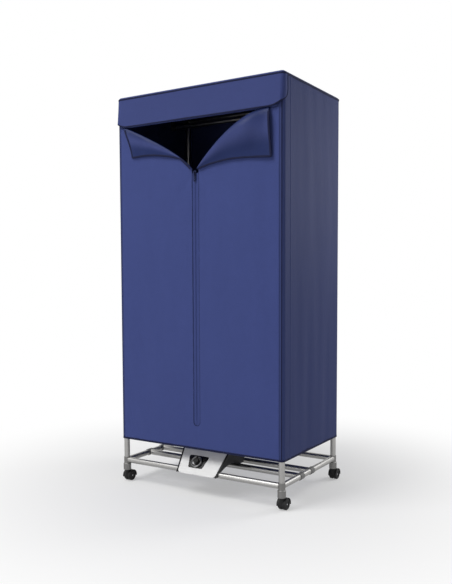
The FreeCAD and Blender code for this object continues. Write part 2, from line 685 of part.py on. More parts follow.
def half_at(z, grow):
    """Half width of the casing at a height: it widens with the panel."""
    share = (z - panel_low_z) / (panel_len * math.cos(rake))
    return panel_half_low + (panel_half_top - panel_half_low) * share + arm_w - grow


def casing_block(grow, front_grow, low_z, side_grow):
    """The casing's outer form drawn in: a raked side profile crossed with a flared front."""
    top = heater_top_z - grow
    back = heater_back_y - grow
    rise = front_grow * math.tan(rake)
    y_top, z_top = on_plane((top - panel_low_z) / math.cos(rake) + rise, -front_grow)
    y_low, z_low = on_plane((low_z - panel_low_z) / math.cos(rake) + rise, -front_grow)
    side = [V(-post_x, y_low, z_low), V(-post_x, y_top, z_top), V(-post_x, back, z_top), V(-post_x, back, z_low)]
    prism = polygon_face(side).extrude(V(2 * post_x, 0, 0))
    low_half, top_half = half_at(low_z, side_grow), half_at(top, side_grow)
    front = [V(-low_half, -2 * post_y, low_z), V(low_half, -2 * post_y, low_z),
             V(top_half, -2 * post_y, top), V(-top_half, -2 * post_y, top)]
    return prism.common(polygon_face(front).extrude(V(0, 3 * post_y, 0)))


def build_casing():
    """Three mouldings: a wrap with the recessed raked face, the top and the back, and two arched cheeks."""
    outer = casing_block(0.0, 0.0, panel_low_z, 0.0)
    tops = [e for e in outer.Edges if e.BoundBox.ZMin > heater_top_z - 0.1]
    outer = outer.makeFillet(casing_round, tops)
    core = casing_block(-2 * wall, -2 * wall, panel_low_z - tube_d, wall)
    wrap = outer.common(core).cut(casing_block(wall, panel_t + wall, panel_low_z - tube_d, wall))
    cheeks = outer.cut(core).Solids
    export("heater_casing", [trim_casing(moulding) for moulding in [wrap] + cheeks])


def trim_casing(shell):
    """Cut the panel's recess, the saddle over each rail, the side arch and the three holes."""
    recess = tapered_plate(panel_half_low + play, panel_half_top + play, -tube_d, panel_len + play,
                           panel_r, -panel_t, panel_t)
    shell = shell.cut(to_panel(recess))
    # everything under the rails' tops goes, apart from the hook in front of the front rail
    rail_top = base_rail_z + tube_r + seat_clear
    reach = panel_half_top + 2 * arm_w
    shell = shell.cut(box((-reach, -post_y, 0), (reach, 0, rail_top)))
    shell = shell.cut(cylinder(V(-reach, -post_y, base_rail_z), V(reach, -post_y, base_rail_z), tube_r + play))
    # the arch between the two rails, through both sides
    a, b = V(-reach, -post_y + tube_r, rail_top), V(-reach, cross_rail_y[0] - tube_r, rail_top)
    crown = V(-reach, (a.y + b.y) / 2, arch_z)
    arch = Part.Face(Part.Wire([Part.Arc(a, crown, b).toShape(), Part.LineSegment(b, a).toShape()]))
    shell = shell.cut(arch.extrude(V(2 * reach, 0, 0)))
    mouth = V(0, duct_y, heater_top_z)
    shell = shell.cut(cylinder(mouth - V(0, 0, 2 * wall), mouth + V(0, 0, wall), duct_r + seat_clear))
    shell = shell.cut(to_panel(shaft_hole()))
    at = gland_at()
    return shell.cut(cylinder(at - V(0, 2 * wall, 0), at + V(0, wall, 0), gland_neck_r + seat_clear))


def shaft_hole():
    return cylinder(V(dial_x, dial_s, -2 * (panel_t + wall)), V(dial_x, dial_s, 2 * panel_t), shaft_d / 2 + play)


def gland_at():
    return V(gland_x, heater_back_y, gland_z)


def build_panel():
    """Pale front panel with a shallow seat for the dark insert behind the dial."""
    plate = tapered_plate(panel_half_low, panel_half_top, 0.0, panel_len, panel_r, -panel_t, 0.0)
    depths = (-insert_depth, insert_depth)
    seat = tapered_plate(insert_half_low, insert_half_top, *insert_s, insert_r, *depths, dial_x)
    export("heater_panel", to_panel(plate.cut(seat).cut(shaft_hole())))
    slim = seat_clear
    low_s, top_s = insert_s
    insert = tapered_plate(insert_half_low - slim, insert_half_top - slim, low_s + slim, top_s - slim,
                           insert_r - slim, -insert_depth, insert_proud, dial_x)
    export("panel_insert", to_panel(insert.cut(shaft_hole())))


def build_dial():
    """Timer dial: a bright dished ring with a dark grip in it, on the timer's shaft."""
    low = insert_proud + dial_gap
    high = low + dial_h
    ring = [V(grip_r, 0, low), V(dial_r, 0, low), V(dial_r - 0.8, 0, high - 1.5),
            V(dial_r - 3.0, 0, high), V(dial_r - 6.5, 0, high - 3.5), V(grip_r, 0, high - 4.5)]
    trim = polygon_face(ring).revolve(V(0, 0, 0), V(0, 0, 1), 360)
    # the grip's foot is turned down a little, to go inside the ring
    grip = Part.makeCone(grip_r - seat_clear, grip_r - 1.5, grip_h, V(0, 0, low))
    pointer = box((-pointer_w / 2, -grip_r + 1.5, high), (pointer_w / 2, dial_r - 6.0, low + grip_h))
    grip = fuse_all([grip, pointer])
    grip = grip.cut(Part.makeCylinder(shaft_d / 2 + running_clear, shaft_reach + play, V(0, 0, low)))
    at = V(dial_x, dial_s, 0)
    trim.translate(at)
    grip.translate(at)
    export("dial_ring", to_panel(trim))
    export("dial_grip", to_panel(grip))
    timer = timer_box(0.0)
    shaft = cylinder(V(dial_x, dial_s, -panel_t - wall - 1), V(dial_x, dial_s, low + shaft_reach), shaft_d / 2)
    export("timer", to_panel(fuse_all([timer, shaft])))


def timer_box(grow):
    back, half = -panel_t - wall, timer_size / 2 + grow
    return box((dial_x - half, dial_s - half, back - timer_depth - grow),
               (dial_x + half, dial_s + half, back + grow))


def slot_rows(pitch, width, outer_r, inner_r, low, high):
    """Parallel slots across a disc round the duct's axis, keeping clear of its middle."""
    slots = []
    count = int((outer_r - width) / pitch)
    for i in range(-count, count + 1):
        x = i * pitch
        half = math.sqrt(outer_r ** 2 - x ** 2)
        stay = math.sqrt(max(inner_r ** 2 - x ** 2, 1.0))
        for side in (-1, 1):
            if half - stay > width:
                near, far = duct_y + side * stay, duct_y + side * half
                slots.append(box((x - width / 2, near, low), (x + width / 2, far, high)))
    return slots


def build_air_path():
    """Base plate, motor, fan, heating element and the outlet duct with its grille, on one upright axis."""
    centre = V(0, duct_y, 0)
    plate_low = arch_z + 1.0
    motor_z = plate_low + plate_t
    slab = box((-post_x, -post_y, plate_low), (post_x, 0, motor_z))
    inset = wall + seat_clear
    plate = casing_block(inset, panel_t + inset, arch_z - wall, inset).common(slab)
    plate = plate.cut(to_panel(timer_box(1.0)))
    for slot in slot_rows(intake_pitch, intake_slot, duct_r - 4, motor_r + 3, plate_low - 1, motor_z + 1):
        plate = plate.cut(slot)
    export("heater_base_plate", plate)
    motor = Part.makeCylinder(motor_r, motor_h, centre + V(0, 0, motor_z))
    shaft = Part.makeCylinder(motor_shaft_d / 2, fan_z + fan_h - motor_z, centre + V(0, 0, motor_z))
    export("fan_motor", fuse_all([motor, shaft]))
    export("fan", fan_wheel(centre))
    inner_r = duct_r - duct_wall
    element = Part.makeCylinder(inner_r - seat_clear, element_h, centre + V(0, 0, element_z))
    for slot in slot_rows(fin_pitch, fin_gap, inner_r - 4, 2.0, element_z - 1, element_z + element_h + 1):
        element = element.cut(slot)
    export("heating_element", element)
    build_outlet(centre, inner_r)


def fan_wheel(centre):
    """Hub and twisted blades; each blade is ruled from a steep root to a flatter tip."""
    tip_r = duct_r - duct_wall - tip_clear
    hub = Part.makeCylinder(fan_hub_r, fan_h, V(0, 0, fan_z))

    def section(radius, pitch_deg, chord, thick):
        a = math.radians(pitch_deg)
        mid = fan_z + fan_h / 2
        along = V(0, math.cos(a), math.sin(a)) * (chord / 2)
        off = V(0, -math.sin(a), math.cos(a)) * (thick / 2)
        c = V(radius, 0, mid)
        points = [c - along - off, c + along - off, c + along + off, c - along + off]
        return Part.makePolygon(points + [points[0]])

    blade = Part.makeLoft([section(fan_hub_r - 2, 42, 14.0, 2.0), section(tip_r - 0.8, 24, 22.0, 1.4)], True, True)
    blades = []
    for i in range(fan_blades):
        turned = blade.copy()
        turned.rotate(V(0, 0, 0), V(0, 0, 1), i * 360.0 / fan_blades)
        blades.append(turned)
    wheel = fuse_all([hub] + blades)
    wheel = wheel.common(Part.makeCylinder(tip_r, fan_h, V(0, 0, fan_z)))
    wheel = wheel.cut(Part.makeCylinder(motor_shaft_d / 2 + running_clear, fan_h + 2, V(0, 0, fan_z - 1)))
    wheel.translate(centre)
    return wheel


def build_outlet(centre, inner_r):
    """Round duct with a flange on the casing and a ledge for the element, and the grille in its mouth."""
    ledge_r, ledge_z = inner_r - 2.0, element_z - 2.0
    low = collar_top_z - grille_t
    profile = [V(inner_r, 0, duct_low_z), V(duct_r, 0, duct_low_z), V(duct_r, 0, heater_top_z),
               V(flange_r, 0, heater_top_z), V(flange_r, 0, heater_top_z + flange_t),
               V(duct_r, 0, heater_top_z + flange_t), V(duct_r, 0, collar_top_z), V(inner_r, 0, collar_top_z),
               V(inner_r, 0, element_z), V(ledge_r, 0, element_z), V(ledge_r, 0, ledge_z), V(inner_r, 0, ledge_z)]
    duct = polygon_face(profile).revolve(V(0, 0, 0), V(0, 0, 1), 360)
    duct.translate(centre)
    export("outlet_duct", duct)
    hub = Part.makeCylinder(grille_hub_r, grille_t, V(0, 0, low))
    rings = [Part.makeCylinder(r, grille_t, V(0, 0, low)).cut(Part.makeCylinder(r - rib_t, grille_t, V(0, 0, low)))
             for r in (inner_r - seat_clear, grille_ring_r)]
    ribs = []
    for i in range(grille_ribs):
        rib = box((grille_hub_r - 1, -rib_t / 2, low), (inner_r - rib_t / 2, rib_t / 2, collar_top_z))
        rib.rotate(V(0, 0, 0), V(0, 0, 1), i * 360.0 / grille_ribs)
        ribs.append(rib)
    grille = fuse_all([hub] + rings + ribs)
    grille.translate(centre)
    export("outlet_grille", grille)


def build_gland():
    """Strain-relief gland in the back of the casing, where the mains lead leaves."""
    at = gland_at()
    step = V(0, wall, 0)
    neck = cylinder(at - step, at, gland_neck_r)
    flange = cylinder(at, at + step, gland_r)
    nose = Part.makeCone(gland_neck_r, gland_neck_r - 2, gland_len - wall, at + step, V(0, 1, 0))
    bore = cylinder(at - 2 * step, at + V(0, 2 * gland_len, 0), lead_bore_r)
    export("cable_gland", fuse_all([neck, flange, nose]).cut(bore))


build_posts()
build_rings()
build_fittings()
for corner_name, (side_x, side_y) in corners.items():
    build_castor(corner_name, side_x, side_y)
build_cover()
build_leaves()
build_slider()
build_casing()
build_panel()
build_dial()
build_air_path()
build_gland()
print("done")
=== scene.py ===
import bpy
import math
import numpy as np
from mathutils import Matrix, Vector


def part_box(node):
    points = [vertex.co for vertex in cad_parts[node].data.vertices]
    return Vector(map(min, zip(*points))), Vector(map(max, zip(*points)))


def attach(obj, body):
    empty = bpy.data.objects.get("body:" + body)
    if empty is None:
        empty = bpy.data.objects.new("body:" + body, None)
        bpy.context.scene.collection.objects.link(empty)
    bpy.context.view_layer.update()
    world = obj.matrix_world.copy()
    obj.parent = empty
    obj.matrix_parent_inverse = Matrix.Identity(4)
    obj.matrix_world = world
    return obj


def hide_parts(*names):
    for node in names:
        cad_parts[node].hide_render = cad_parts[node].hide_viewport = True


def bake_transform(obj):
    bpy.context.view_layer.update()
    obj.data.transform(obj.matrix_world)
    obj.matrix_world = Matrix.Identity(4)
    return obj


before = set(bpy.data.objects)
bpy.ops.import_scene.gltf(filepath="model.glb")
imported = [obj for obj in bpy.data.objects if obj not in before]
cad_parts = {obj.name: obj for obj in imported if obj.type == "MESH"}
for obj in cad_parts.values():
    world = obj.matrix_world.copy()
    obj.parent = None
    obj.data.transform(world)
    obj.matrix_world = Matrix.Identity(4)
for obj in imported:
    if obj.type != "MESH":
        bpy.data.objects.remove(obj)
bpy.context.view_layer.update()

topBox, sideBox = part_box("cover_top"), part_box("cover_right_side")
zipBox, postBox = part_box("zip_left_half"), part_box("post_front_right")
frontY, backY, topZ = topBox[0].y, topBox[1].y, topBox[1].z
hemZ, veeZ, zipLowZ = sideBox[0].z, zipBox[1].z, zipBox[0].z
postX, postY = (postBox[0].x + postBox[1].x) / 2, -(postBox[0].y + postBox[1].y) / 2
pieces = {}


def gridFaces(rows, cols, wrapRows=False, wrapCols=False):
    # quads over a grid of rows x cols points, closed round in either direction if asked
    rowEnd, colEnd = rows if wrapRows else rows - 1, cols if wrapCols else cols - 1
    i, j = np.meshgrid(np.arange(rowEnd), np.arange(colEnd), indexing="ij")
    k, m = (i + 1) % rows, (j + 1) % cols
    return np.stack([i * cols + j, i * cols + m, k * cols + m, k * cols + j], -1).reshape(-1, 4)


def makePiece(name, points, faces, uv=None, smooth=True):
    mesh = bpy.data.meshes.new(name)
    points = np.asarray(points, float).reshape(-1, 3)
    mesh.from_pydata(points.tolist(), [], [list(map(int, f)) for f in faces])
    mesh.polygons.foreach_set("use_smooth", np.full(len(mesh.polygons), smooth))
    if uv is not None:
        loops = np.zeros(len(mesh.loops), int)
        mesh.loops.foreach_get("vertex_index", loops)
        mesh.uv_layers.new(name="cloth").data.foreach_set("uv", np.asarray(uv, float).reshape(-1, 2)[loops].ravel())
    mesh.update()
    piece = bpy.data.objects.new(name, mesh)
    bpy.context.scene.collection.objects.link(piece)
    pieces[name] = piece
    return piece


def sheetPiece(name, grid, uv, thickness=0.0009, flip=False):
    # a cloth: the grid is its outer face, and Solidify gives the thickness behind it
    faces = gridFaces(*grid.shape[:2])
    piece = makePiece(name, grid, faces[:, ::-1] if flip else faces, uv)
    wall = piece.modifiers.new("thickness", "SOLIDIFY")
    wall.thickness, wall.offset = thickness, -1
    piece.modifiers.new("evenNormals", "WEIGHTED_NORMAL").weight = 90
    return piece


def pointGrid(*coordinates):
    # arrays broadcast to one shape, as the coordinates of points
    return np.stack(np.broadcast_arrays(*coordinates), -1)


def unit(a):
    return a / np.maximum(np.linalg.norm(a, axis=-1, keepdims=True), 1e-12)


def arcRun(path):
    # distance along a polyline up to each of its points
    return np.concatenate([[0], np.cumsum(np.linalg.norm(np.diff(path, axis=0), axis=1))])


def readAlong(at, run, values):
    # rows of values, read off at given distances along a path
    return np.stack([np.interp(at, run, values[:, k]) for k in range(values.shape[1])], -1)


def resample(path, count, closed=False):
    # points at equal steps of arc length along a polyline
    path = np.asarray(path, float)
    if closed:
        path = np.vstack([path, path[:1]])
    run = arcRun(path)
    return readAlong(np.linspace(0, run[-1], count, endpoint=not closed), run, path)


def tangents(path, closed=False):
    if closed:
        return unit(np.roll(path, -1, 0) - np.roll(path, 1, 0))
    return unit(np.gradient(path, axis=0))


def sweep(name, path, normals, profile, closed=False):
    # carry a closed profile (across, outwards) along a path whose outward direction is given
    along = tangents(path, closed)
    normals = unit(normals - (normals * along).sum(1, keepdims=True) * along)
    across = np.cross(along, normals)
    profile = np.asarray(profile)
    points = (path[:, None] + across[:, None] * profile[None, :, :1]
              + normals[:, None] * profile[None, :, 1:])
    faces = [list(f) for f in gridFaces(len(path), len(profile), closed, True)]
    if not closed:
        last = (len(path) - 1) * len(profile)
        faces += [list(range(len(profile)))[::-1], [last + i for i in range(len(profile))]]
    uv = pointGrid(np.arange(len(profile))[None] * 0.001, arcRun(path)[:, None])
    piece = makePiece(name, points, faces, uv)
    turnOutwards(piece)
    return piece


def turnOutwards(piece):
    # signed volume of the mesh from its triangles; a negative one means that it is inside out
    mesh = piece.data
    mesh.calc_loop_triangles()
    tris = np.zeros(len(mesh.loop_triangles) * 3, int)
    mesh.loop_triangles.foreach_get("vertices", tris)
    co = np.zeros(len(mesh.vertices) * 3)
    mesh.vertices.foreach_get("co", co)
    a, b, c = np.moveaxis(co.reshape(-1, 3)[tris.reshape(-1, 3)], 1, 0)
    if (a * np.cross(b, c)).sum() < 0:
        mesh.flip_normals()


def oval(width, thick, count=10):
    # closed flat profile, nearly square-ended: the lower half sinks into what it is sewn on
    a = np.linspace(0, 2 * math.pi, count, endpoint=False)
    ca, sa = np.cos(a), np.sin(a)
    return np.stack([width / 2 * np.sign(ca) * np.abs(ca) ** 0.6, thick / 2 * np.sign(sa) * np.abs(sa) ** 0.8], -1)


stitch = {"pitch": 0.0042, "long": 0.003, "wide": 0.0007, "high": 0.0005}


def stitchRow(name, path, normals):
    # short roof-shaped stitches at a steady pitch along a path
    run = arcRun(path)
    at = np.arange(stitch["pitch"] / 2, run[-1], stitch["pitch"])
    centre, out = readAlong(at, run, path), unit(readAlong(at, run, normals))
    step = 1e-4
    ahead = unit(readAlong(at + step, run, path) - readAlong(at - step, run, path))
    side = np.cross(ahead, out)
    corners = [[-.5, -.5, -.3], [.5, -.5, -.3], [.5, .5, -.3], [-.5, .5, -.3], [-.3, 0, 1], [.3, 0, 1]]
    shape = np.array(corners) * [stitch["long"], stitch["wide"], stitch["high"]]
    points = (centre[:, None] + ahead[:, None] * shape[None, :, :1] + side[:, None] * shape[None, :, 1:2]
              + out[:, None] * shape[None, :, 2:])
    roof = [[0, 1, 5, 4], [2, 3, 4, 5], [1, 2, 5], [3, 0, 4], [3, 2, 1, 0]]
    faces = [[6 * n + i for i in f] for n in range(len(at)) for f in roof]
    piece = makePiece(name, points, faces, smooth=False)
    turnOutwards(piece)
    return piece


def smooth(a, low, high):
    t = np.clip((a - low) / (high - low), 0, 1)
    return t * t * (3 - 2 * t)


def ripple(u, v, seed, across, along, count=7):
    # soft folds: a seeded sum of sine waves, short across the fold and long along it, about -1 to 1
    rng = np.random.default_rng(seed)
    total = np.zeros(np.broadcast(u, v).shape)
    for _ in range(count):
        fu, fv = 1 / rng.uniform(*across), rng.choice([-1, 1]) / rng.uniform(*along)
        total = total + rng.uniform(0.5, 1) * np.sin(2 * math.pi * (u * fu + v * fv) + rng.uniform(0, 6.28))
    return total / (0.45 * count)


def roundedLoop(halfX, halfY, radius, count):
    # closed plan outline: a rectangle with round corners, and its outward directions
    a = np.linspace(0, math.pi / 2, 13)
    arc = np.stack([np.cos(a), np.sin(a)], -1)
    corners = [(1, 1, 0), (-1, 1, 1), (-1, -1, 2), (1, -1, 3)]
    points, outs = [], []
    for sx, sy, k in corners:
        turned = arc @ np.linalg.matrix_power(np.array([[0, 1], [-1, 0]]), k)
        points.append(np.array([sx * (halfX - radius), sy * (halfY - radius)]) + turned * radius)
        outs.append(turned)
    both = resample(np.hstack([np.vstack(points), np.vstack(outs)]), count, True)
    return both[:, :2], unit(both[:, 2:])


print("tools ready")

# the cover's sizes, in metres
cover = {"cloth": 0.0009, "edgeRound": 0.009, "sag": 0.004, "wrapRadius": 0.0132, "tuckRadius": 0.0122,
         "lap": 0.012, "seamY": -0.183, "sideFold": 0.0010, "frontFold": 0.0011, "backFold": 0.0018,
         "hemBand": 0.009, "hemThick": 0.0030, "piping": 0.0078, "pipingThick": 0.0036, "cornerPiping": 0.0044,
         "cornerPipingThick": 0.0024}
# each leaf, -1 left and 1 right: w is where the vee's slope ends, corner and level shape the lapel's free
# edge, off and puff are how far the lapel stands out, and fade is how much of the puff goes at its outer end
leafShape = {-1: {"body": "left_front", "node": "left_leaf", "zipNode": "zip_left_half", "edge": 0.0125,
                  "w": 0.324, "bow": 0.72, "full": 0.0, "cornerX": 0.285, "cornerZ": 1.268,
                  "levelX": 0.250, "levelBow": 0.38, "droop": 0.001, "off": 0.006, "puff": 0.004,
                  "sideBow": 0.0055, "fade": 0.3, "seed": 3},
             1: {"body": "right_front", "node": "right_leaf", "zipNode": "zip_right_half", "edge": 0.0150,
                 "w": 0.308, "bow": 0.88, "full": 1.0, "cornerX": 0.316, "cornerZ": 1.217,
                 "levelX": 0.200, "levelBow": 0.5, "droop": 0.008, "off": 0.009, "puff": 0.030,
                 "sideBow": 0.0, "fade": 0.80, "seed": 8}}
sideName = {-1: "Left", 1: "Right"}
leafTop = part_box("left_leaf")[1].z
wrapTopZ = topZ - cover["edgeRound"]
slit = {"end": 0.2620, "round": 0.0145}  # lower end of the opening behind the zip


def veeHeight(leaf, x):
    # height of the vee's slope: a power of the share of its width, or of the sine of that share
    share = np.clip(x / leaf["w"], 0, 1)
    rise = (1 - leaf["full"]) * share ** leaf["bow"] + leaf["full"] * np.sin(share * math.pi / 2) ** leaf["bow"]
    return veeZ + (leafTop - veeZ) * rise


def freeEdge(leaf, x):
    # height of a lapel's free edge: a power of a sine up to the level part, then a parabola down to the corner
    climb = np.sin(np.clip(x / leaf["levelX"], 0, 1) * math.pi / 2) ** leaf["levelBow"]
    droop = np.maximum(x - leaf["levelX"], 0) / (leaf["cornerX"] - leaf["levelX"])
    return veeZ + (leaf["cornerZ"] + leaf["droop"] - veeZ) * climb - leaf["droop"] * droop ** 2


def bendWithLeaf(piece):
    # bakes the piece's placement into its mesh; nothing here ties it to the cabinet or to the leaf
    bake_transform(piece)


def coverTop():
    # a grid over the plan, its corners pulled onto the round, its edge a quarter round, and a sag between the rails
    halfX, halfY, r, e = cover["wrapRadius"] + postX, -frontY, cover["wrapRadius"], cover["edgeRound"]
    near = np.array([0, .12, .3, .5, .75, 1.0]) * e
    def axis(half, count):
        mid = np.linspace(-half + e * 1.6, half - e * 1.6, count)
        return np.concatenate([-half + near, mid, half - near[::-1]])
    x, y = np.meshgrid(axis(halfX, 54), axis(halfY, 36), indexing="ij")
    qx, qy = np.abs(x) - (halfX - r), np.abs(y) - (halfY - r)
    far = np.hypot(np.maximum(qx, 0), np.maximum(qy, 0))
    pull = np.where((qx > 0) & (qy > 0) & (far > r), r / np.maximum(far, 1e-9), 1)
    x = np.where((qx > 0) & (qy > 0), np.sign(x) * (halfX - r + qx * pull), x)
    y = np.where((qx > 0) & (qy > 0), np.sign(y) * (halfY - r + qy * pull), y)
    qx, qy = np.abs(x) - (halfX - r), np.abs(y) - (halfY - r)
    d = np.clip(r - np.hypot(np.maximum(qx, 0), np.maximum(qy, 0)) - np.minimum(np.maximum(qx, qy), 0), 0, None)
    inside = smooth(d, 0.018, 0.12)
    z = topZ - e + np.sqrt(np.maximum(e ** 2 - np.clip(e - d, 0, None) ** 2, 0))
    z = z - cover["sag"] * inside * (1 + 0.35 * ripple(x, y, 21, (0.25, 0.6), (0.3, 0.9)))
    grid = np.stack([x, y, z], -1)
    piece = sheetPiece("coverTop", grid, grid[..., :2], cover["cloth"])
    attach(piece, "cabinet")
    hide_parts("cover_top")
    return piece


def sidePlan(side):
    # plan line of a side: a tucked lap, round the front post, the seam, the flat, round the back post, a lap
    tuck, wrap, lap = cover["tuckRadius"], cover["wrapRadius"], cover["lap"]
    phi = np.radians(np.linspace(0, 90, 12))
    r = tuck + (wrap - tuck) * smooth(np.degrees(phi), 2, 13)
    lapX = postX - np.linspace(lap, 0.001, 5)
    seam = cover["seamY"] + np.array([-6, -3.4, -2.6, -1.8, -.8, 0, .8, 1.8, 2.6, 3.4, 6]) * 0.001
    flatY = np.concatenate([np.linspace(-postY + 0.006, seam[0] - 0.006, 4), seam,
                            np.linspace(seam[-1] + 0.012, postY - 0.004, 46)])
    front = np.stack([postX + r * np.sin(phi), -postY - r * np.cos(phi)], -1)
    flat = np.stack([np.full_like(flatY, postX + wrap), flatY], -1)
    plan = np.vstack([np.stack([lapX, np.full(5, -postY - tuck)], -1), front, flat, front[::-1] * [1, -1],
                      np.stack([lapX[::-1], np.full(5, postY + tuck)], -1)])
    out = np.vstack([np.tile([0, -1.0], (5, 1)), np.stack([np.sin(phi), -np.cos(phi)], -1),
                     np.tile([1.0, 0], (len(flat), 1)),
                     np.stack([np.sin(phi), np.cos(phi)], -1)[::-1], np.tile([0, 1.0], (5, 1))])
    return plan * [side, 1], out * [side, 1]


def sidePanel(side):
    # the plan line carried up, with long soft folds on the flat and a felled seam behind the front corner
    plan, out = sidePlan(side)
    z = np.linspace(hemZ, wrapTopZ, 90)
    y, zz = plan[:, 1][:, None], z[None]
    flat = smooth(0.19 - np.abs(y), 0, 0.06)
    fold = cover["sideFold"] * flat * ripple(y, zz, 31 + side, (0.07, 0.3), (0.5, 2.4), 9)
    bulge = smooth(np.abs(y - 0.02), 0.25, 0.05) * np.sin(np.pi * (zz - hemZ) / (topZ - hemZ))
    fold = fold + 0.0012 * bulge - 0.0006
    seam = smooth(np.abs(y - cover["seamY"]), 0.0030, 0.0022) * 0.0008
    grid = np.empty((len(plan), len(z), 3))
    grid[..., 0] = plan[:, :1] + out[:, :1] * (fold * flat + seam)
    grid[..., 1] = plan[:, 1:] + out[:, 1:] * seam
    grid[..., 2] = zz
    run = arcRun(plan)
    uv = pointGrid(run[:, None], zz)
    piece = sheetPiece("sidePanel" + sideName[side], grid, uv, cover["cloth"], flip=side < 0)
    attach(piece, "cabinet")
    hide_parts("cover_left_side" if side < 0 else "cover_right_side")
    up = np.linspace(hemZ + 0.012, wrapTopZ - 0.004, 60)
    near = np.argmin(np.abs(plan[:, 1] - cover["seamY"]))
    x = np.interp(up, z, grid[near, :, 0]) + side * 0.0001
    for k, dy in enumerate((-0.0014, 0.0014)):  # a row of stitches on each side of the seam's line
        line = np.stack([x, np.full(60, cover["seamY"] + dy), up], -1)
        row = stitchRow(f"sideStitch{sideName[side]}{k}", line, np.tile([side, 0.0, 0], (60, 1)))
        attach(row, "cabinet")
    return piece


def backPanel():
    # a flat grid between the back posts, with long soft folds that fade at its edges
    x, z = np.linspace(-postX + 0.002, postX - 0.002, 90)[:, None], np.linspace(hemZ, wrapTopZ, 80)[None]
    inside = smooth(postX - np.abs(x), 0.01, 0.07)
    fold = cover["backFold"] * inside * ripple(x, z, 47, (0.09, 0.35), (0.6, 2.6), 9)
    grid = pointGrid(x, backY + fold - 0.0002, z)
    uv = pointGrid(x, z)
    piece = sheetPiece("backPanel", grid, uv, cover["cloth"], flip=True)
    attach(piece, "cabinet")
    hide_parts("cover_back")
    return piece


def frontRelief(side, x, z):
    # how far the front cloth stands out: long folds, a pucker by the zip, and pulls that fan out below the vee
    inside = smooth(postX - 0.006 - x, 0, 0.05) * smooth(z, hemZ, hemZ + 0.05)
    folds = cover["frontFold"] * inside * ripple(x * side, z, 60 + side, (0.08, 0.3), (0.7, 2.6), 8)
    pucker = 0.0006 * np.exp(-x / 0.03) * np.sin(2 * math.pi * z / 0.047 + 3 * np.sin(5 * z))
    pucker = pucker * smooth(z, 0.3, 0.4)
    fan = np.arctan2(x + 0.004, veeZ + 0.02 - z)
    reach = np.hypot(x, veeZ - z)
    pull = 0.0012 * np.exp(-reach / 0.16) * np.sin(9 * fan + side) * smooth(reach, 0.01, 0.05)
    pull = pull * smooth(veeZ + 0.01 - z, 0, 0.06)
    return folds + pucker * inside + pull


def leafCloth(side):
    # one grid from the hem to the vee's slope: its columns run up, and the inner edge is an ellipse's quarter
    # where the opening closes under the zip
    leaf = leafShape[side]
    u = np.concatenate([np.linspace(0, 0.1, 9)[:-1], np.linspace(0.1, 1, 46)])
    turn = 1 - np.cos(np.linspace(0, math.pi / 2, 10))
    low = np.concatenate([np.linspace(hemZ, slit["end"], 9)[:-1], slit["end"] + slit["round"] * turn])
    high = np.linspace(0, 1, 100)[1:]
    outX = postX - 0.0040
    zLow = np.tile(low, (len(u), 1))
    rimX = np.maximum(leaf["edge"] + (outX - leaf["edge"]) * u, leaf["edge"])
    zTop = np.where(rimX < leaf["w"], veeHeight(leaf, rimX), leafTop) - 0.0035
    z = np.hstack([zLow, low[-1] + (zTop[:, None] - low[-1]) * high[None]])
    back = np.clip((slit["end"] + slit["round"] - z) / slit["round"], 0, 1)
    inX = np.where(z <= slit["end"], 0.0, leaf["edge"] * np.sqrt(np.maximum(1 - back ** 2, 0)))
    x = inX + (outX - inX) * u[:, None]
    y = frontY - frontRelief(side, x, z)
    grid = np.stack([side * x, y, z], -1)
    uv = np.stack([side * x, z], -1)
    piece = sheetPiece("leafCloth" + sideName[side], grid, uv, cover["cloth"], flip=side < 0)
    bendWithLeaf(piece)
    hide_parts(leaf["node"])
    return piece


def lapelGrid(side):
    # sections from the vee's slope to the free edge: up the leaf, a half circle round the roll, and down a
    # face whose belly is a sine of a power, with soft creases
    leaf = leafShape[side]
    share = np.linspace(0, 1, 64) ** 1.25
    xTop = leaf["edge"] + (leaf["w"] - leaf["edge"]) * share
    xLow = leaf["edge"] + (leaf["cornerX"] - leaf["edge"]) * share
    top = veeHeight(leaf, xTop)
    low = np.minimum(freeEdge(leaf, xLow), top - 0.007)
    start = np.stack([side * xTop, np.full_like(top, frontY - 0.0003), top], -1)
    down = np.stack([side * (xLow - xTop), np.zeros_like(top), low - top], -1)
    length = np.linalg.norm(down, axis=1)
    down = unit(down)
    roll = 0.0035
    tuck = np.linspace(0.75, 0, 5)[:-1]
    turn = np.linspace(0, math.pi, 11)
    face = np.linspace(0, 1, 30)[1:]
    grow = np.minimum(length / (leafTop - leaf["cornerZ"]), 1)[:, None]
    count = (len(share), 1)
    t = np.hstack([roll + (length[:, None] - roll) * tuck * 0.35, np.tile(roll - roll * np.sin(turn), count),
                   roll + (length[:, None] - roll) * face])
    out = np.hstack([np.zeros((len(share), len(tuck))), np.tile(roll - roll * np.cos(turn), count),
                     2 * roll + (leaf["off"] - 2 * roll) * share[:, None] * face])
    s, f = share[:, None], np.hstack([0 * tuck, 0 * turn, face])[None]
    belly = leaf["puff"] * grow * 2.6 * np.sin(np.pi * f ** 0.72) * (1.1 - f) ** 0.8 * 0.62
    out = out + belly * (1 - leaf["fade"] * smooth(s, 0.70, 1.0))
    creases = (np.sin(2 * math.pi * (2.6 * s + 0.5 * f) + leaf["seed"]) * 0.0013
               + np.sin(2 * math.pi * (5.3 * s - 0.8 * f)) * 0.0006)
    out = out + creases * f * (1.2 - f) * 3 * grow
    grid = start[:, None] + down[:, None] * t[..., None]
    grid[..., 0] -= side * leaf["sideBow"] * 4 * f * (1 - f) * s ** 3
    grid[..., 1] -= out
    grid[..., 2] -= 0.0012 * np.sin(9 * s + side) * f ** 3 * grow
    uv = pointGrid(xTop[:, None], t)
    return grid, uv, length


